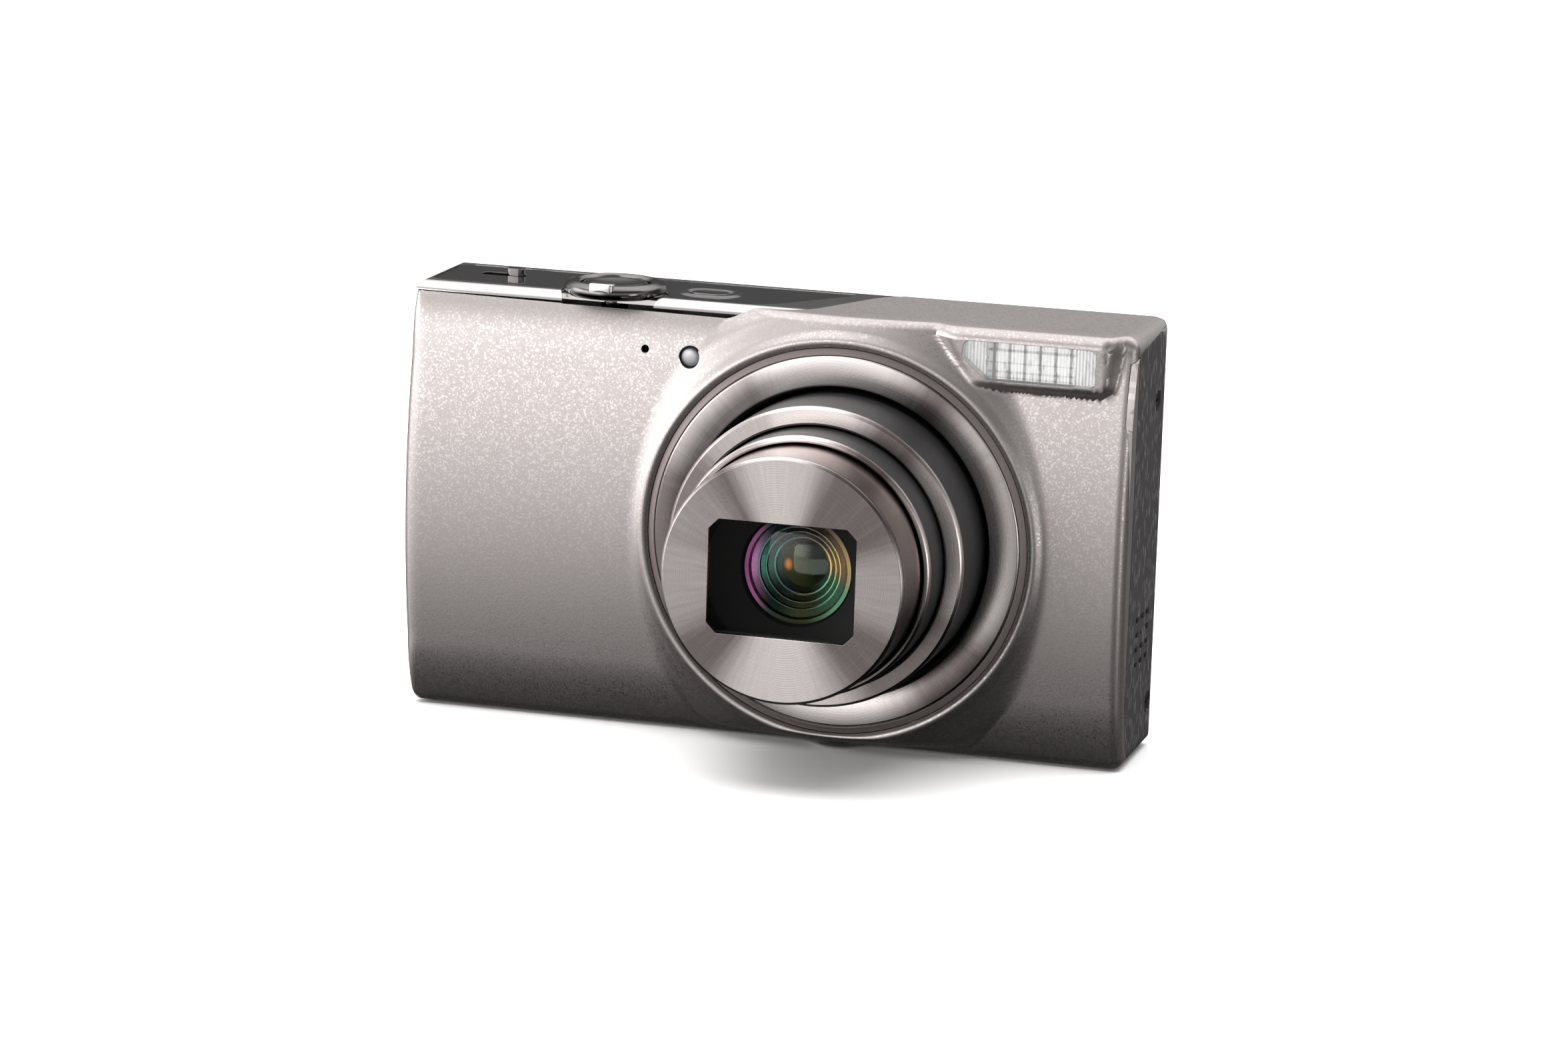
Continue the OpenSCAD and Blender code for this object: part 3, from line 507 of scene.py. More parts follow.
def build_finishes():
    """Every finish of the camera, by a plain name."""
    taupe, pale = tuple(settings().paint), colour(0.86, 0.82, 0.81)
    return {
        "paint": flake_paint("satin_taupe_paint", taupe, pale, settings().flake),
        "rear_paint": flake_paint("rear_silver_paint", colour(0.52, 0.49, 0.48),
                                  colour(0.85, 0.82, 0.81), 0.16, 0.008, 0.34, 0.2),
        "plated": plated("plated_strip", colour(0.70, 0.67, 0.66), 0.17),
        "dark_chrome": plated("dark_chrome", colour(0.20, 0.19, 0.19), 0.09),
        "bright_chrome": plated("bright_chrome", colour(0.82, 0.80, 0.79), 0.08),
        "inlay": gloss("black_inlay", colour(0.006, 0.006, 0.007), 0.07),
        "trim": satin("taupe_trim", colour(0.17, 0.145, 0.14), 0.38, 0.3, 0.004, 0.6),
        "decor": spun_metal("spun_wide_ring", colour(0.20, 0.172, 0.168), colour(0.74, 0.69, 0.675),
                            [(93, 36, 1.15), (140, 26, 0.5), (212, 22, 0.35),
                             (272, 36, 1.0), (2, 40, 1.15), (30, 26, 0.9)]),
        "barrel_ring": spun_metal("spun_barrel_ring", colour(0.26, 0.225, 0.22),
                                  colour(0.84, 0.78, 0.765),
                                  [(92, 30, 1.1), (122, 26, 0.55), (4, 28, 1.1),
                                   (26, 26, 1.0), (268, 30, 1.0)]),
        "face": spun_metal("spun_face_plate", colour(0.19, 0.165, 0.16), colour(0.80, 0.745, 0.735),
                           [(93, 30, 0.8), (150, 30, 0.3), (271, 42, 1.0),
                            (0, 30, 0.45), (184, 36, 0.45)], 0.28, 0.14, 0.6),
        "barrel": satin("black_barrel", colour(0.016, 0.016, 0.017), 0.42, 0.3, 0.005),
        "rose": plated("rose_barrel", colour(0.42, 0.36, 0.345), 0.2),
        "optical": satin("optical_black", colour(0.0015, 0.0015, 0.0016), 0.85, 0.15, 0.01),
        "panel": dashed_panel("charcoal_panel"),
        "key": gloss("key_plastic", colour(0.30, 0.285, 0.28), 0.3, 4.0, 0.2, 0.2),
        "charcoal": satin("charcoal_plastic", colour(0.05, 0.048, 0.05), 0.5, 0.25, 0.02),
        "screw": plated("black_screw", grey(0.05), 0.28),
        "shutter": plated("shutter_metal", colour(0.10, 0.10, 0.102), 0.16),
        "movie": gloss("movie_key", colour(0.32, 0.02, 0.02), 0.25, 3.0, 0.2, 0.3),
        "latch": satin("latch_orange", colour(0.62, 0.16, 0.03), 0.45),
        "steel": plated("stamped_steel", colour(0.52, 0.52, 0.53), 0.32),
        "screen": gloss("screen_glass", colour(0.004, 0.0045, 0.006), 0.05, 20.0, 0.2, 0.8),
        "battery": satin("battery_wrap", colour(0.05, 0.052, 0.058), 0.4),
        "board": circuit("circuit_board"),
        "lamp": lamp_finish("lamp_lens"),
        "painted_reflection_well": painted_reflection_well("painted_reflection_well"),
        "pupil": pupil_finish("lens_pupil"),
        "front_glass": front_glass("front_glass"),
        "flash_clear": flash_clear("flash_clear"),
        "flash_grid": flash_grid("flash_grid"),
    }


# ---------- modelling ----------

def bend(distance, reach):
    """A straight line that starts softly: 0 before -reach, distance after reach."""
    if distance <= -reach:
        return 0.0
    if distance >= reach:
        return distance
    return (distance + reach) ** 2 / (4 * reach)


def merged(a, b, reach):
    """The nearer to the front of two surfaces, with a soft valley between them."""
    near = max(reach - abs(a - b), 0) / reach
    return min(a, b) - near * near * reach / 4


def soft(value, start, end):
    """0 before start, 1 after end and smooth between them."""
    t = min(1.0, max(0.0, (value - start) / (end - start)))
    return t * t * (3 - 2 * t)


def rounded(corners, steps=8):
    """A closed outline of (x, y, radius) corners with its corners rounded."""
    outline = []
    count = len(corners)
    for i, (x, y, radius) in enumerate(corners):
        here = Vector((x, y))
        before = Vector(corners[i - 1][:2]) - here
        after = Vector(corners[(i + 1) % count][:2]) - here
        if radius == 0:
            outline.append(here)
            continue
        before.normalize()
        after.normalize()
        half = before.angle(after) / 2
        centre = here + (before + after).normalized() * radius / math.sin(half)
        start = here + before * radius / math.tan(half) - centre
        end = here + after * radius / math.tan(half) - centre
        turn = math.pi - 2 * half
        way = 1 if start.x * end.y - start.y * end.x > 0 else -1
        for k in range(steps + 1):
            outline.append(centre + Matrix.Rotation(way * turn * k / steps, 2) @ start)
    return outline


def eased(bm, edges, width, steps):
    """Round some edges."""
    bmesh.ops.bevel(bm, geom=edges, offset=width, segments=steps, profile=0.5, affect="EDGES",
                    material=-1, clamp_overlap=True)


def slab(outline, axis, start, end, edge=0.0, steps=2):
    """An outline pushed along an axis, with its two rims rounded."""
    bm = bmesh.new()
    spots = {"X": lambda p, d: (d, p.x, p.y),
             "Y": lambda p, d: (p.x, d, p.y),
             "Z": lambda p, d: (p.x, p.y, d)}[axis]
    face = bm.faces.new([bm.verts.new(spots(p, start)) for p in outline])
    grown = bmesh.ops.extrude_face_region(bm, geom=[face])["geom"]
    verts = [g for g in grown if isinstance(g, bmesh.types.BMVert)]
    shift = Vector(spots(Vector((0, 0)), end - start))
    bmesh.ops.translate(bm, verts=verts, vec=shift)
    far = [g for g in grown if isinstance(g, bmesh.types.BMFace)][0]
    if edge:
        eased(bm, list(face.edges) + list(far.edges), edge, steps)
    bmesh.ops.recalc_face_normals(bm, faces=bm.faces)
    return bm


def turned(profile, centre, axis="Y", steps=192):
    """A profile of (radius, distance along the axis) turned about the axis Y or Z."""
    bm = bmesh.new()
    cx, c2 = centre
    if axis == "Y":
        points = [(cx + r, d, c2) for r, d in profile]
        middle_point, direction = (cx, 0, c2), (0, 1, 0)
    else:
        points = [(cx + r, c2, d) for r, d in profile]
        middle_point, direction = (cx, c2, 0), (0, 0, 1)
    verts = [bm.verts.new(p) for p in points]
    edges = [bm.edges.new(pair) for pair in zip(verts, verts[1:])]
    bmesh.ops.spin(bm, geom=verts + edges, cent=middle_point, axis=direction, dvec=(0, 0, 0),
                   angle=2 * math.pi, steps=steps, use_merge=True, use_duplicate=False)
    bmesh.ops.remove_doubles(bm, verts=bm.verts, dist=0.0005)
    bmesh.ops.recalc_face_normals(bm, faces=bm.faces)
    return bm


def arc(centre, radius, start, end, steps):
    """Points of a circle's arc, its angles in degrees."""
    return [(centre[0] + radius * math.cos(math.radians(start + (end - start) * k / steps)),
             centre[1] + radius * math.sin(math.radians(start + (end - start) * k / steps)))
            for k in range(steps + 1)]


def mark_edges(bm, limit):
    """Smooth faces with sharp edges where two faces meet at more than a limit."""
    for face in bm.faces:
        face.smooth = True
    for edge in bm.edges:
        if len(edge.link_faces) == 2:
            edge.smooth = edge.calc_face_angle(0) < math.radians(limit)


def place_piece(bm, name, finish_name, node, limit=32, replaces=True):
    """Finish a mesh drawn in millimetres as a piece that rides with a frame node.

    It rides with the node's rigid body, and stands in for the node or is added to it.
    """
    bmesh.ops.remove_doubles(bm, verts=bm.verts, dist=0.0008)
    bmesh.ops.scale(bm, vec=(MM, MM, MM), verts=bm.verts)
    mark_edges(bm, limit)
    mesh = bpy.data.meshes.new(name)
    bm.to_mesh(mesh)
    bm.free()
    piece = bpy.data.objects.new(name, mesh)
    bpy.context.scene.collection.objects.link(piece)
    mesh.materials.append(look(finish_name))
    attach(piece, frame["nodes"][node]["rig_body"])
    if replaces:
        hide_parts(node)
    return piece


def copied(node):
    """A merged copy of a frame node's mesh, in millimetres."""
    bm = bmesh.new()
    bm.from_mesh(frame["nodes"][node].data)
    bmesh.ops.scale(bm, vec=(1 / MM,) * 3, verts=bm.verts)
    bmesh.ops.remove_doubles(bm, verts=bm.verts, dist=0.002)
    bmesh.ops.dissolve_limit(bm, angle_limit=math.radians(0.8), verts=bm.verts, edges=bm.edges,
                             use_dissolve_boundaries=False)
    return bm


def refined(node, finish_name, edge=0.06, limit=32, steps=2, sharp=28):
    """A frame node with its hard edges eased and its round faces smooth."""
    bm = copied(node)
    if edge:
        hard = [e for e in bm.edges
                if len(e.link_faces) == 2 and e.calc_face_angle(0) > math.radians(sharp)]
        eased(bm, hard, edge, steps)
    for vert in bm.verts:
        vert.co.x = min(max(vert.co.x, LEFT), RIGHT)
    piece = place_piece(bm, node + "_piece", finish_name, node, limit)
    piece.modifiers.new("shading", "WEIGHTED_NORMAL").keep_sharp = True


def settled(piece):
    """Turn a piece's modifiers into its mesh."""
    mesh = bpy.data.meshes.new_from_object(
        piece.evaluated_get(bpy.context.evaluated_depsgraph_get()))
    piece.modifiers.clear()
    piece.data = mesh


def cut_out(piece, cutters):
    """Cut shapes drawn in millimetres out of a piece."""
    for shape in cutters:
        bmesh.ops.scale(shape, vec=(MM, MM, MM), verts=shape.verts)
        bmesh.ops.recalc_face_normals(shape, faces=shape.faces)
        mesh = bpy.data.meshes.new("cutter")
        shape.to_mesh(mesh)
        shape.free()
        tool = bpy.data.objects.new("cutter", mesh)
        bpy.context.scene.collection.objects.link(tool)
        cut = piece.modifiers.new("cut", "BOOLEAN")
        cut.operation = "DIFFERENCE"
        cut.solver = "MANIFOLD"
        cut.object = tool
        settled(piece)
        bpy.data.objects.remove(tool)
    bm = bmesh.new()
    bm.from_mesh(piece.data)
    mark_edges(bm, 32)
    bm.to_mesh(piece.data)
    bm.free()


# ---------- front cover ----------

def plain_front(z):
    """How far forward the plain front face is at a height."""
    y = FACE_Y + 0.0034 * (min(z, 48) - FACE_Z) ** 2
    if z > 48:
        rise = min((z - 48) / 8.75, 1.0)
        y += 0.129 * (z - 48) + 0.421 * 8.75 * rise ** 3.14 / 3.14 + 0.55 * max(z - 56.75, 0)
    if z < 9:
        y += 0.014 * (9 - z) ** 2
    return y


def lens_swell(x, z):
    """The soft round swelling with a tight bead at the lens opening."""
    r = math.hypot(x - LENS_X, z - LENS_Z)
    crest = RING_FRONT + 0.02
    if r < HOLE_R + 0.75:
        y = crest + 0.45 * ((HOLE_R + 0.75 - r) / 0.75) ** 2.2
    else:
        y = (crest + 1.75 * soft(r, HOLE_R + 0.9, HOLE_R + 5.6)
             + 0.55 * soft(r, HOLE_R + 0.8, HOLE_R + 2.3))
    y += 6.0 * soft(r, HOLE_R + 4.5, HOLE_R + 10)
    if z < 2.4:
        y += 2.2 * (1 - math.sqrt(max(0.0, 1 - ((2.4 - z) / 1.5) ** 2))) + 3.0 * max(0.0, 1.0 - z)
    return y


def flash_swell(x, z):
    """The soft raised field round the flash."""
    turn = 1.8
    right = x - 46.9 + turn
    below = 50.2 - z + turn
    corner = math.hypot(max(right, 0), max(below, 0)) + min(max(right, below), 0) - turn
    y = -10.5 + 2.6 * soft(corner, -0.85, 1.25)
    y += 5.0 * soft(27.6 + (51.5 - z) * 0.55 - x, -1.2, 6.5)
    y += 3.6 * bend(z - 56.95, 0.35)
    return y


def front_face(x, z):
    """How far forward the painted front is at a place."""
    y = merged(plain_front(z), lens_swell(x, z), 0.45)
    return merged(y, flash_swell(x, z), 0.35)


def top_end(x):
    """How far back the painted top reaches: to the curved line of the plated cover."""
    plan = rounded([(-60, -7.05, 0), (4.4, -7.4, 6), (11.4, 8.6, 7), (19.5, 12.6, 0)], 16)[:-1]
    for a, b in zip(plan, plan[1:]):
        if a.x <= x <= b.x:
            return min(a.y + (b.y - a.y) * (x - a.x) / max(b.x - a.x, 1e-6), 10.0)
    return 10.0


def front_outline():
    """Closely spaced places round the front."""
    left_side = [(LEFT + 0.42 * ((z - FACE_Z) / 29) ** 2, z, 0) for z in range(50, 7, -7)]
    corners = [(RIGHT - 0.01, 0, 1.8), (RIGHT - 0.01, 58, 2.0), (LEFT + 0.35, 58, 1.4)]
    outline = rounded(corners + left_side + [(LEFT + 0.6, 0, 2.0)], 10)
    places = []
    for a, b in zip(outline, outline[1:] + outline[:1]):
        pieces = max(1, round((b - a).length / 0.62))
        places += [a + (b - a) * k / pieces for k in range(pieces)]
    return [p for i, p in enumerate(places) if (p - places[i - 1]).length > 0.01]


def edge_ease(spot, outward):
    """Radius of the rounding at the front's edge, smaller toward the left corners."""
    side = outward.x ** 2
    left = 2.0 - 0.95 * soft(abs(spot.y - FACE_Z), 18, 27)
    across = 1.5 if outward.x > 0 else left
    upright = 1.7 if outward.y > 0 else 2.0 if spot.x > -46 else 1.6
    return side * across + (1 - side) * upright


def edge_lean(spot, outward):
    """How far the face already leans back where the edge's rounding begins."""
    ease = edge_ease(spot, outward)
    fall = front_face(*(spot - outward * 0.7 * ease)) - front_face(*(spot - outward * 1.1 * ease))
    return min(max(math.atan(fall / (0.4 * ease)), 0.0), math.radians(65))


def front_rows(spot, outward, lean):
    """The points of one rib of the front cover, from the lens opening to its back edge."""
    hub = Vector((LENS_X, LENS_Z))
    ease = edge_ease(spot, outward)
    inner = spot - outward * ease * (1 - math.sin(lean))
    start = hub + (spot - hub).normalized() * HOLE_R
    reach = (inner - start).length
    near = min(5.6, reach * 0.72)
    fractions = [0, .012, .03, .055, .085, .12, .155, .19, .225, .26,
                 .30, .345, .39, .44, .50, .57, .65, .74, .84, .92]
    steps, edge_steps, side_steps = 34, 8, 6
    spans = ([near * f for f in fractions]
             + [near + (reach - near) * (k / steps) for k in range(steps + 1)])
    points = []
    for span in spans:
        p = start + (inner - start) * (span / reach)
        points.append((p.x, front_face(p.x, p.y), p.y))
    face_y = points[-1][1]
    for k in range(1, edge_steps + 1):
        turn = lean + (math.pi / 2 - lean) * k / edge_steps
        p = spot - outward * ease * (1 - math.sin(turn))
        points.append((p.x, face_y + ease * (math.cos(lean) - math.cos(turn)), p.y))
    edge_y = points[-1][1]
    end = top_end(spot.x) if outward.y > 0.5 or spot.y > 56.8 else SEAM
    for k in range(1, side_steps + 1):
        points.append((spot.x, edge_y + (max(end, edge_y + 0.01) - edge_y) * k / side_steps,
                       spot.y))
    for i, point in enumerate(points):
        if point[1] > end and i > steps - 4:
            share = (end - points[i - 1][1]) / (point[1] - points[i - 1][1])
            last = Vector(points[i - 1]).lerp(Vector(point), share)
            points[i:] = [tuple(last)] * (len(points) - i)
            break
    return points


def next_ring(bm, ring, edges):
    """Extrude a ring's edges: the new ring, in the same order, and its edges."""
    grown = bmesh.ops.extrude_edge_only(bm, edges=edges)["geom"]
    verts = {g for g in grown if isinstance(g, bmesh.types.BMVert)}
    edges = [g for g in grown
             if isinstance(g, bmesh.types.BMEdge) and all(v in verts for v in g.verts)]
    partner = {e.other_vert(v): v for v in verts for e in v.link_edges
               if e.other_vert(v) not in verts}
    return [partner[v] for v in ring], edges


def front_skin():
    """The front cover as ribs that run from the lens opening to the outline."""
    outline = front_outline()
    bm = bmesh.new()
    count = len(outline)
    along = [outline[(i + 1) % count] - outline[i - 1] for i in range(count)]
    outward = [Vector((way.y, -way.x)).normalized() for way in along]
    leans = [edge_lean(spot, way) for spot, way in zip(outline, outward)]
    evened = [sum(leans[(i + k) % count] for k in range(-4, 5)) / 9 for i in range(count)]
    ribs = [front_rows(*rib) for rib in zip(outline, outward, evened)]
    ring = [bm.verts.new(rib[0]) for rib in ribs]
    edges = [bm.edges.new(pair) for pair in zip(ring, ring[1:] + ring[:1])]
    for row in range(1, len(ribs[0])):
        ring, edges = next_ring(bm, ring, edges)
        for vert, rib in zip(ring, ribs):
            vert.co = rib[row]
    bmesh.ops.remove_doubles(bm, verts=bm.verts, dist=0.0008)
    bmesh.ops.dissolve_degenerate(bm, dist=0.0004, edges=bm.edges)
    bmesh.ops.recalc_face_normals(bm, faces=bm.faces)
    bm.normal_update()
    lean = sum(face.normal.y * face.calc_area() for face in bm.faces)
    if lean > 0:
        bmesh.ops.reverse_faces(bm, faces=bm.faces)
    return bm


# ---------- the look's settings ----------

class CompactCameraSettings(bpy.types.PropertyGroup):
    """Sizes and colours a user may change."""

    paint: bpy.props.FloatVectorProperty(
        name="Paint", description="Colour of the satin paint on the front",
        subtype="COLOR", size=4, min=0, max=1, default=(0.50, 0.46, 0.452, 1))
    flake: bpy.props.FloatProperty(
        name="Flake", description="Width of the flakes in the paint, in millimetres",
        default=0.2, min=0.05, max=0.6)
    skin_wall: bpy.props.FloatProperty(
        name="Shell", description="Thickness of the front cover",
        subtype="DISTANCE", default=0.0007, min=0.0003, max=0.0009)
    floor: bpy.props.FloatVectorProperty(
        name="Floor", description="Colour of the floor",
        subtype="COLOR", size=4, min=0, max=1, default=(0.9, 0.9, 0.9, 1))
    sky: bpy.props.FloatProperty(
        name="Studio light", description="Strength of the soft studio light",
        default=1.0, min=0, max=5)
    overhead: bpy.props.FloatProperty(
        name="Overhead light", description="Power of the light over the floor",
        subtype="POWER", default=34.0, min=0, max=500)


FINISHES = {}


def settings():
    return bpy.context.scene.compact_camera


def look(name):
    """One finish by its plain name, all made on first use."""
    if not FINISHES:
        FINISHES.update(build_finishes())
    return FINISHES[name]


class CAMERA_OT_front(bpy.types.Operator):
    """Make the painted front cover with its swellings and openings"""

    bl_idname = "compact_camera.front"
    bl_label = "Front Cover"

    def execute(self, context):
        skin = place_piece(front_skin(), "front_skin", "paint", "front_cover")
        shell = skin.modifiers.new("shell", "SOLIDIFY")
        shell.thickness = settings().skin_wall
        shell.offset = -1
        settled(skin)

        def bore(radius, start, end, centre, axis, steps):
            return turned([(0, start), (radius, start), (radius, end), (0, end)],
                          centre, axis, steps)

        door_low, door_high = low("battery_door"), high("battery_door")
        lamp, microphone = middle("af_lamp_lens"), middle("microphone")
        socket = middle("tripod_socket")
        left_panel = [(-3.6, 3.7, 0.3), (12, 3.7, 0.3), (12, 56.6, 0.3), (-3.6, 56.6, 0.3)]
        cutters = [
            slab(flash_outline(0.0), "Y", -14, -5.9),
            bore(1.42, -14, 0, (lamp.x, lamp.z), "Y", 48),
            bore(0.55, -14, 0, (microphone.x, microphone.z), "Y", 32),
            slab(end_outline(0.05), "X", RIGHT - 1.0, RIGHT + 2),
            slab(rounded(left_panel), "X", LEFT - 1, LEFT + 1.6),
            bore(4.65, -1, 3, (socket.x, socket.y), "Z", 64),
            bore(1.6, -1, 3, (-5, -2.6), "Z", 32),
            bore(1.6, -1, 3, (43, 3.8), "Z", 32),
            bore(7.15, TOP - 1.6, TOP + 3, (SHUTTER.x, SHUTTER.y), "Z", 96),
        ]
        front = door_low.y - 0.1
        for reach, roof in ((door_high.x + 0.12, 1.2), (-37.4, 2.95), (-47.6, 3.75)):
            room = [(LEFT - 1, front, 0), (reach, front, 0.2), (reach, 20, 0.2), (LEFT - 1, 20, 0)]
            cutters.append(slab(rounded(room), "Z", -1, roof))
        cut_out(skin, cutters)
        return {"FINISHED"}


def flash_outline(grow):
    """The flash window's outline, with its cut lower left corner."""
    return rounded([(27.1 - grow, 56.5 + grow, 0.8), (26.9 - grow, 54.2, 0.6),
                    (30.4, 51.3 - grow, 0.6), (44.8 + grow, 51.3 - grow, 1.0),
                    (44.8 + grow, 56.4 + grow, 1.0)])


def end_outline(grow):
    """The right end panel's outline in Y and Z."""
    return rounded([(-4.8 - grow, 0.7 - grow, 4), (-9.2 - grow, 18, 60), (-9.4 - grow, 46, 10),
                    (-8.9 - grow, 55.4 + grow, 4), (8.4 + grow, 56.8 + grow, 2.4),
                    (10.1 + grow, 40, 40), (10.4 + grow, 0.9 - grow, 2.2)], 12)


class CAMERA_OT_top(bpy.types.Operator):
    """Finish the plated top cover and make the dark inlay"""

    bl_idname = "compact_camera.top"
    bl_label = "Top Cover"

    def execute(self, context):
        refined("top_cover", "plated", 0.05)
        refined("top_panel", "inlay", 0.1, 30, 3)
        bezel = oval_rings([(1.9, -0.06), (2.0, 0.02), (2.28, 0.16), (2.5, 0.2), (2.75, 0.17),
                            (3.15, 0.02), (3.4, -0.07)])
        place_piece(bezel, "power_bezel", "inlay", "top_panel", replaces=False)
        return {"FINISHED"}


def oval_rings(profile, fill=False):
    """An oval ridge or cap at the power button: rings at (radius, height above the top)."""
    bm = bmesh.new()
    half_gap = 1.05
    cx, cy = middle("power_button").xy
    ring = bmesh.ops.create_circle(bm, segments=96, radius=1.0)["verts"]
    directions = [v.co.copy() for v in ring]
    edges = list(bm.edges)
    for row, (radius, height) in enumerate(profile):
        if row:
            ring, edges = next_ring(bm, ring, edges)
        for vert, way in zip(ring, directions):
            shift = math.copysign(half_gap, way.x) if abs(way.x) > 1e-6 else 0
            vert.co = (cx + way.x * radius + shift, cy + way.y * radius, TOP + height)
    if fill:
        bm.faces.new(ring)
    bmesh.ops.recalc_face_normals(bm, faces=bm.faces)
    return bm


def dome(radius, edge, rise, steps):
    """The profile of a shallow dome from its edge inward, which rises by a height."""
    return [(radius * (1 - k / steps), edge + rise * (1 - (1 - k / steps) ** 2))
            for k in range(1, steps + 1)]


class CAMERA_OT_controls(bpy.types.Operator):
    """Make the zoom lever, the shutter button, the power button and the mode switch"""

    bl_idname = "compact_camera.controls"
    bl_label = "Top Controls"

    def execute(self, context):
        centre = (SHUTTER.x, SHUTTER.y)
        lever_r = high("zoom_lever").x - SHUTTER.x
        nub_top = high("zoom_lever").z
        base = TOP - 0.28
        ring = ([(1.3, TOP - 2.2), (1.8, TOP - 2.2), (1.8, base), (lever_r - 0.9, base)]
                + arc((lever_r - 1.0, TOP + 0.62), 0.98, -66, 40, 10)
                + arc((lever_r - 1.45, TOP + 0.75), 0.84, 62, 150, 8)
                + [(4.78, TOP + 0.7), (4.76, TOP + 0.12), (1.3, TOP + 0.12), (1.3, TOP - 2.2)])
        lever = turned(ring, centre, "Z", 160)
        outer_y, inner_y = SHUTTER.y - lever_r + 0.15, SHUTTER.y - 4.9
        nub_outline = [(SHUTTER.x - 1.75, outer_y, 0.5), (SHUTTER.x + 1.75, outer_y, 0.5),
                       (SHUTTER.x + 1.55, inner_y, 0.3), (SHUTTER.x - 1.55, inner_y, 0.3)]
        nub = slab(rounded(nub_outline, 6), "Z", TOP + 0.3, nub_top, 0.28, 5)
        place_piece(lever, "zoom_lever_ring", "dark_chrome", "zoom_lever", 40)
        place_piece(nub, "zoom_lever_nub", "bright_chrome", "zoom_lever", 50, False)
        dish = [(0, TOP - 2.6), (1.0, TOP - 2.6), (1.0, TOP + 0.55), (4.45, TOP + 0.55),
                (4.5, TOP + 0.62), (4.5, TOP + 1.0), (4.42, TOP + 1.14), (4.25, TOP + 1.24),
                (4.0, TOP + 1.26), (3.6, TOP + 1.18)] + dome(3.6, TOP + 1.18, -0.34, 10)
        place_piece(turned(dish, centre, "Z", 128), "shutter_dish", "shutter", "shutter_button", 40)
        cap = oval_rings([(0.9, -1.9), (2.25, -1.9), (2.25, -1.3), (1.5, -1.2), (1.55, 0.0),
                          (1.5, 0.1), (1.38, 0.148), (1.15, 0.15), (0.8, 0.1), (0.4, 0.07)], True)
        place_piece(cap, "power_cap", "dark_chrome", "power_button", 40)
        refined("mode_switch", "dark_chrome", 0.12, 35, 3)
        return {"FINISHED"}


class CAMERA_OT_lens_rings(bpy.types.Operator):
    """Turn the rings and barrels of the lens"""

    bl_idname = "compact_camera.lens_rings"
    bl_label = "Lens Rings and Barrels"

    def execute(self, context):
        axis = (LENS_X, LENS_Z)
        f = RING_FRONT
        trim = [(24.9, f + 1.6), (HOLE_R - 0.05, f + 1.6), (HOLE_R - 0.05, f + 0.62),
                (HOLE_R - 0.12, f + 0.5), (HOLE_R - 0.3, f + 0.42), (24.98, f + 0.12),
                (24.92, f + 0.14), (24.9, f + 0.2), (24.9, f + 1.6)]
        place_piece(turned(trim, axis), "trim_ring", "trim", "lens_trim_ring")
        decor = [(20.8, f + 1.5), (24.85, f + 1.5), (24.85, f + 0.2), (24.80, f + 0.09),
                 (24.68, f + 0.02), (24.55, f), (21.1, f), (20.95, f + 0.05),
                 (20.84, f + 0.16), (20.8, f + 0.32), (20.8, f + 1.5)]
        place_piece(turned(decor, axis), "decor_ring", "decor", "lens_decor_ring", 60)
        refined("lens_base_barrel", "optical", 0)
        for number, inside, inner_ring, chamfer in ((1, 17.6, 17.5, 0.3), (2, 16.4, 16.35, 0.25)):
            tube, rim = f"barrel_{number}_tube", f"barrel_{number}_ring"
            front, radius, barrel = pipe(tube, inside)
            place_piece(barrel, tube + "_piece", "barrel", tube)
            tip = low(rim).y
            ring = [(inner_ring, front), (radius, front), (radius, tip + chamfer + 0.08),
                    (radius - 0.05, tip + chamfer), (radius - chamfer, tip + 0.04),
                    (radius - chamfer - 0.08, tip), (inner_ring + chamfer, tip),
                    (inner_ring + 0.04, tip + chamfer * 0.6), (inner_ring, tip + chamfer),
                    (inner_ring, front)]
            place_piece(turned(ring, axis), rim + "_piece", "barrel_ring", rim, 24)
        tube = "barrel_3_tube"
        place_piece(pipe(tube, high(tube).x - LENS_X - 0.5)[2], "narrow_barrel", "rose", tube)
        refined("lens_face_plate", "face", 0.07, 24, 2, 20)
        return {"FINISHED"}


def pipe(node, inside):
    """A plain tube in the place of a lens barrel: its front, its radius and its mesh."""
    radius = high(node).x - LENS_X
    front, back = low(node).y, high(node).y
    profile = [(inside, back), (radius, back), (radius, front), (inside, front), (inside, back)]
    return front, radius, turned(profile, (LENS_X, LENS_Z))


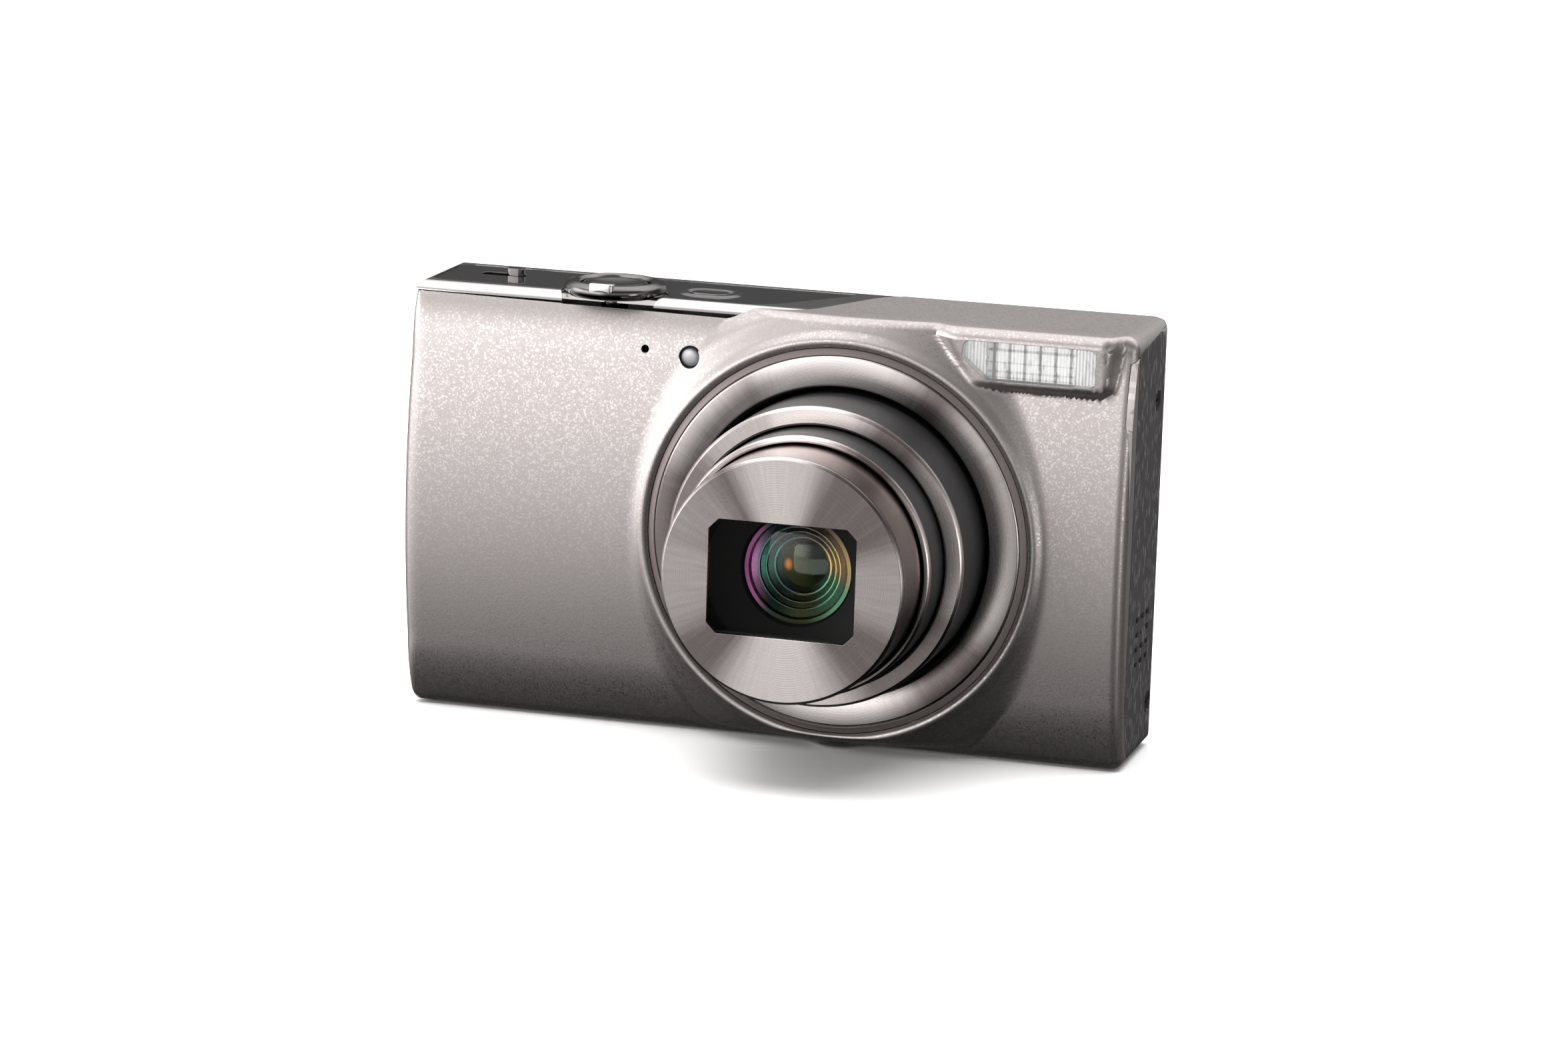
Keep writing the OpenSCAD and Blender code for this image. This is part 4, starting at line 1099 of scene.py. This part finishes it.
class CAMERA_OT_lens_glass(bpy.types.Operator):
    """Make the lens barrier, the stop and the coated lenses"""

    bl_idname = "compact_camera.lens_glass"
    bl_label = "Lens Glass"

    def execute(self, context):
        axis = (LENS_X, LENS_Z)
        for half in ("upper", "lower"):
            refined(f"barrier_blade_{half}", "optical", 0.03)
            refined(f"barrier_leaf_{half}", "optical", 0.03)
        refined("lens_hood", "optical", 0.08)
        edge = high("front_lens").y - 0.1
        well = [(7.1, -0.3), (6.6, -0.28), (6.35, 0.5), (5.5, 0.9), (5.45, 0.75), (5.3, 0.75),
                (5.25, 1.4), (4.7, 1.7), (4.65, 1.55), (4.5, 1.55), (4.45, 2.3), (3.8, 2.7),
                (3.75, 2.5), (3.55, 2.5), (3.5, 3.4), (2.9, 3.8)]
        well = turned([(r, edge + back) for r, back in well], axis, "Y", 160)
        place_piece(well, "lens_well", "painted_reflection_well", "front_lens", replaces=False)
        pupil = [(2.95, edge + 3.8)] + dome(2.95, edge + 3.8, -0.55, 12)
        place_piece(turned(pupil, axis, "Y", 128), "lens_pupil", "pupil", "inner_lens",
                    replaces=False)
        refined("inner_lens", "optical", 0)
        front = [(GLASS_R, edge)] + dome(GLASS_R, edge, -1.5, 16)
        place_piece(turned(front, axis, "Y", 160), "front_element", "front_glass", "front_lens", 60)
        return {"FINISHED"}


class CAMERA_OT_flash(bpy.types.Operator):
    """Make the flash, the lamp and the microphone"""

    bl_idname = "compact_camera.flash"
    bl_label = "Flash and Lamp"

    def execute(self, context):
        front = low("flash_window").y
        window = slab(flash_outline(-0.06), "Y", front, front + 1.3, 0.12, 3)
        place_piece(window, "flash_cover", "flash_clear", "flash_window", 40)
        lattice = slab(flash_outline(-0.2), "Y", front + 1.32, front + 1.5)
        place_piece(lattice, "flash_lattice", "flash_grid", "flash_reflector", replaces=False)
        refined("flash_reflector", "bright_chrome", 0)
        lamp = middle("af_lamp_lens")
        tip = low("af_lamp_lens").y
        glass = [(1.32, tip + 2.2), (1.32, tip + 0.32)] + [
            (1.32 * math.cos(math.radians(a)), tip + 0.32 - 0.32 * math.sin(math.radians(a)))
            for a in range(10, 91, 10)]
        rim = [(1.33, 0.6), (1.33, 0.05), (1.38, 0.0), (1.47, -0.02), (1.56, 0.05), (1.56, 0.6)]
        place_piece(turned(glass, (lamp.x, lamp.z), "Y", 64), "lamp_dome", "lamp",
                    "af_lamp_lens", 60)
        place_piece(turned([(r, tip + back) for r, back in rim], (lamp.x, lamp.z), "Y", 64),
                    "lamp_rim", "optical", "af_lamp_lens", replaces=False)
        refined("microphone", "optical", 0.05)
        return {"FINISHED"}


class CAMERA_OT_ends(bpy.types.Operator):
    """Finish the two end panels with their screws, sockets and strap bar"""

    bl_idname = "compact_camera.ends"
    bl_label = "End Panels"

    def execute(self, context):
        refined("side_cover_right", "panel", 0.05, 30, 2)
        refined("side_cover_left", "charcoal", 0.08)
        refined("terminal_cover", "charcoal", 0.08)
        refined("case_screws", "screw", 0.05)
        refined("strap_bar", "bright_chrome", 0.05)
        refined("speaker", "optical", 0.05)
        for port in ("usb_port", "hdmi_port"):
            refined(port, "bright_chrome", 0.03)
        return {"FINISHED"}


class CAMERA_OT_back(bpy.types.Operator):
    """Finish the rear cover, the screen and the keys"""

    bl_idname = "compact_camera.back"
    bl_label = "Back"

    def execute(self, context):
        refined("rear_cover", "rear_paint", 0.08)
        refined("lcd_window", "screen", 0.12)
        for key in ("playback_button", "link_button", "menu_button"):
            refined(key, "key", 0.15, 40, 3)
        refined("movie_button", "movie", 0.2, 40, 3)
        refined("nav_ring", "key", 0.15, 40, 3)
        refined("nav_pivot", "charcoal", 0.05)
        refined("set_button", "key", 0.2, 40, 3)
        return {"FINISHED"}


class CAMERA_OT_base(bpy.types.Operator):
    """Finish the battery door, its hinge and the tripod socket"""

    bl_idname = "compact_camera.base"
    bl_label = "Base"

    def execute(self, context):
        refined("battery_door", "rear_paint", 0.06)
        refined("door_hinge", "bright_chrome", 0.04)
        refined("tripod_socket", "bright_chrome", 0.08)
        refined("battery_latch", "latch", 0.06)
        return {"FINISHED"}


class CAMERA_OT_inside(bpy.types.Operator):
    """Finish the parts inside the body"""

    bl_idname = "compact_camera.inside"
    bl_label = "Inside Parts"

    def execute(self, context):
        for node, name in {
                "chassis_frame": "steel", "image_sensor": "board", "zoom_motor": "bright_chrome",
                "xenon_tube": "flash_clear", "flash_capacitor": "charcoal",
                "main_board": "board", "key_board": "board", "lcd_panel": "steel",
                "battery": "battery", "battery_holder": "charcoal",
                "memory_card": "charcoal", "card_slot": "steel"}.items():
            materials = frame["nodes"][node].data.materials
            materials.clear()
            materials.append(look(name))
        return {"FINISHED"}


class CAMERA_OT_stage(bpy.types.Operator):
    """Set the floor, the soft studio light and the camera"""

    bl_idname = "compact_camera.stage"
    bl_label = "Stage"

    def execute(self, context):
        scene = context.scene
        material, t = finish("pale_floor")
        place = t.place()
        t.surface({"Base Color": t.blend(t.noise(place, 40.0, 3.0) * 0.04,
                                         tuple(settings().floor), grey(0.86)),
                   "Roughness": 0.7 + t.noise(place, 3.0) * 0.05})
        bm = bmesh.new()
        bmesh.ops.create_circle(bm, cap_ends=True, segments=96, radius=6.0)
        mesh = bpy.data.meshes.new("floor")
        bm.to_mesh(mesh)
        bm.free()
        mesh.materials.append(material)
        floor = bpy.data.objects.new("floor", mesh)
        floor.location.z = -0.0002
        scene.collection.objects.link(floor)
        floor.visible_glossy = False
        studio(scene)
        view(scene)
        return {"FINISHED"}


def toward(azimuth, elevation):
    """A direction from the object, azimuth 0 being straight in front."""
    a, e = math.radians(azimuth), math.radians(elevation)
    return Vector((math.sin(a) * math.cos(e), -math.cos(a) * math.cos(e), math.sin(e)))


# Brightness of the studio before and behind the camera: sine of the elevation, strength
FRONT_GLOW = [(-0.56, 0.0), (-0.39, 0.22), (-0.30, 0.50), (-0.21, 0.98), (-0.09, 1.80),
              (0.0, 2.5), (0.13, 3.3), (0.30, 3.4), (0.42, 1.5), (0.57, 0.5), (0.67, 0.8),
              (0.77, 2.3), (0.94, 2.3), (1.0, 1.6)]
BACK_GLOW = [(-0.8, 0.03), (-0.1, 0.10), (0.20, 0.11), (0.36, 0.25), (0.55, 1.2), (0.8, 1.9),
             (1.0, 1.6)]
# Further soft lights: azimuth, elevation, half width, softness and strength
STUDIO = [
    (58, -4, 4, 9, 2.4),
    (-95, 8, 14, 24, 0.7),
    (158, 10, 8, 16, 0.5),
]


def studio(scene):
    """Soft lights all round, seen in reflections, and a light over the floor."""
    world = bpy.data.worlds.new("studio")
    scene.world = world
    t = Tree(world)
    way = t.put("ShaderNodeTexCoord", out="Generated")
    side, depth, up = t.parts(way)

    def glow(stops):
        most = max(strength for _, strength in stops)
        tones = [((place + 1) / 2, strength / most) for place, strength in stops]
        return t.put("ShaderNodeSeparateColor", {}, {0: t.ramp(up * 0.5 + 0.5, tones)}) * most

    turn = side.sum("ARCTAN2", side, depth * -1)
    key_side = 1 - t.step(turn, math.radians(-24), math.radians(2)) * 0.84
    rear = t.step(depth, -0.15, 0.25)
    level = glow(FRONT_GLOW) * key_side * (1 - rear) + glow(BACK_GLOW) * rear
    for azimuth, elevation, size, blur, strength in STUDIO:
        near = t.put("ShaderNodeVectorMath", {"operation": "DOT_PRODUCT"},
                     {0: way, 1: toward(azimuth, elevation)}, "Value")
        rim, core = (math.cos(math.radians(a)) for a in (size + blur, size))
        level = level + t.step(near, rim, core) * strength
    soft_light = t.put("ShaderNodeBackground", {}, {
        "Color": colour(1.0, 0.985, 0.975), "Strength": level * settings().sky})
    white = t.put("ShaderNodeBackground", {}, {"Color": grey(1), "Strength": 1.0})
    seen = t.put("ShaderNodeLightPath", out="Is Camera Ray")
    mix = t.put("ShaderNodeMixShader", {}, {0: seen, 1: soft_light, 2: white})
    t.put("ShaderNodeOutputWorld", {}, {"Surface": mix})
    lamp = bpy.data.lights.new("overhead", "AREA")
    lamp.shape = "DISK"
    lamp.size = 1.6
    lamp.energy = settings().overhead
    overhead = bpy.data.objects.new("overhead", lamp)
    overhead.location = (0.0, -0.1, 1.4)
    overhead.visible_glossy = False
    scene.collection.objects.link(overhead)


def view(scene):
    """The camera, long and a little above and to the right of the lens axis."""
    data = bpy.data.cameras.new("view")
    data.sensor_width = 36.0
    data.lens = 123.365
    data.clip_start = 0.05
    data.clip_end = 50
    camera = bpy.data.objects.new("view", data)
    aim = Vector((0.0008, 0.0, 0.02785))
    azimuth, elevation, distance = 15.68, 12.07, 0.71917
    back = toward(azimuth, elevation)
    camera.location = aim + back * distance
    right = Vector((0, 0, 1)).cross(back).normalized()
    up = back.cross(right)
    tilt = math.radians(1.84)
    tilted = right * math.cos(tilt) + up * math.sin(tilt)
    risen = up * math.cos(tilt) - right * math.sin(tilt)
    turn = Matrix((tilted, risen, back)).transposed()
    camera.rotation_euler = turn.to_euler()
    scene.collection.objects.link(camera)
    scene.camera = camera
    scene.view_settings.view_transform = "Standard"


class CAMERA_PT_looks(bpy.types.Panel):
    """The camera's pieces in the sidebar"""

    bl_idname = "CAMERA_PT_looks"
    bl_label = "Compact Camera"
    bl_space_type = "VIEW_3D"
    bl_region_type = "UI"
    bl_category = "Compact Camera"

    def draw(self, context):
        for name in CompactCameraSettings.__annotations__:
            self.layout.prop(settings(), name)
        for operator in OPERATORS:
            self.layout.operator(operator.bl_idname)


OPERATORS = (
    CAMERA_OT_stage, CAMERA_OT_front, CAMERA_OT_top, CAMERA_OT_controls, CAMERA_OT_lens_rings,
    CAMERA_OT_lens_glass, CAMERA_OT_flash, CAMERA_OT_ends, CAMERA_OT_back, CAMERA_OT_base,
    CAMERA_OT_inside)
CLASSES = (CompactCameraSettings,) + OPERATORS + (CAMERA_PT_looks,)


def register():
    for item in CLASSES:
        bpy.utils.register_class(item)
    bpy.types.Scene.compact_camera = bpy.props.PointerProperty(type=CompactCameraSettings)


def unregister():
    del bpy.types.Scene.compact_camera
    for item in reversed(CLASSES):
        bpy.utils.unregister_class(item)


def main():
    register()
    for operator in OPERATORS:
        group, name = operator.bl_idname.split(".")
        getattr(getattr(bpy.ops, group), name)()


if __name__ == "__main__":
    main()
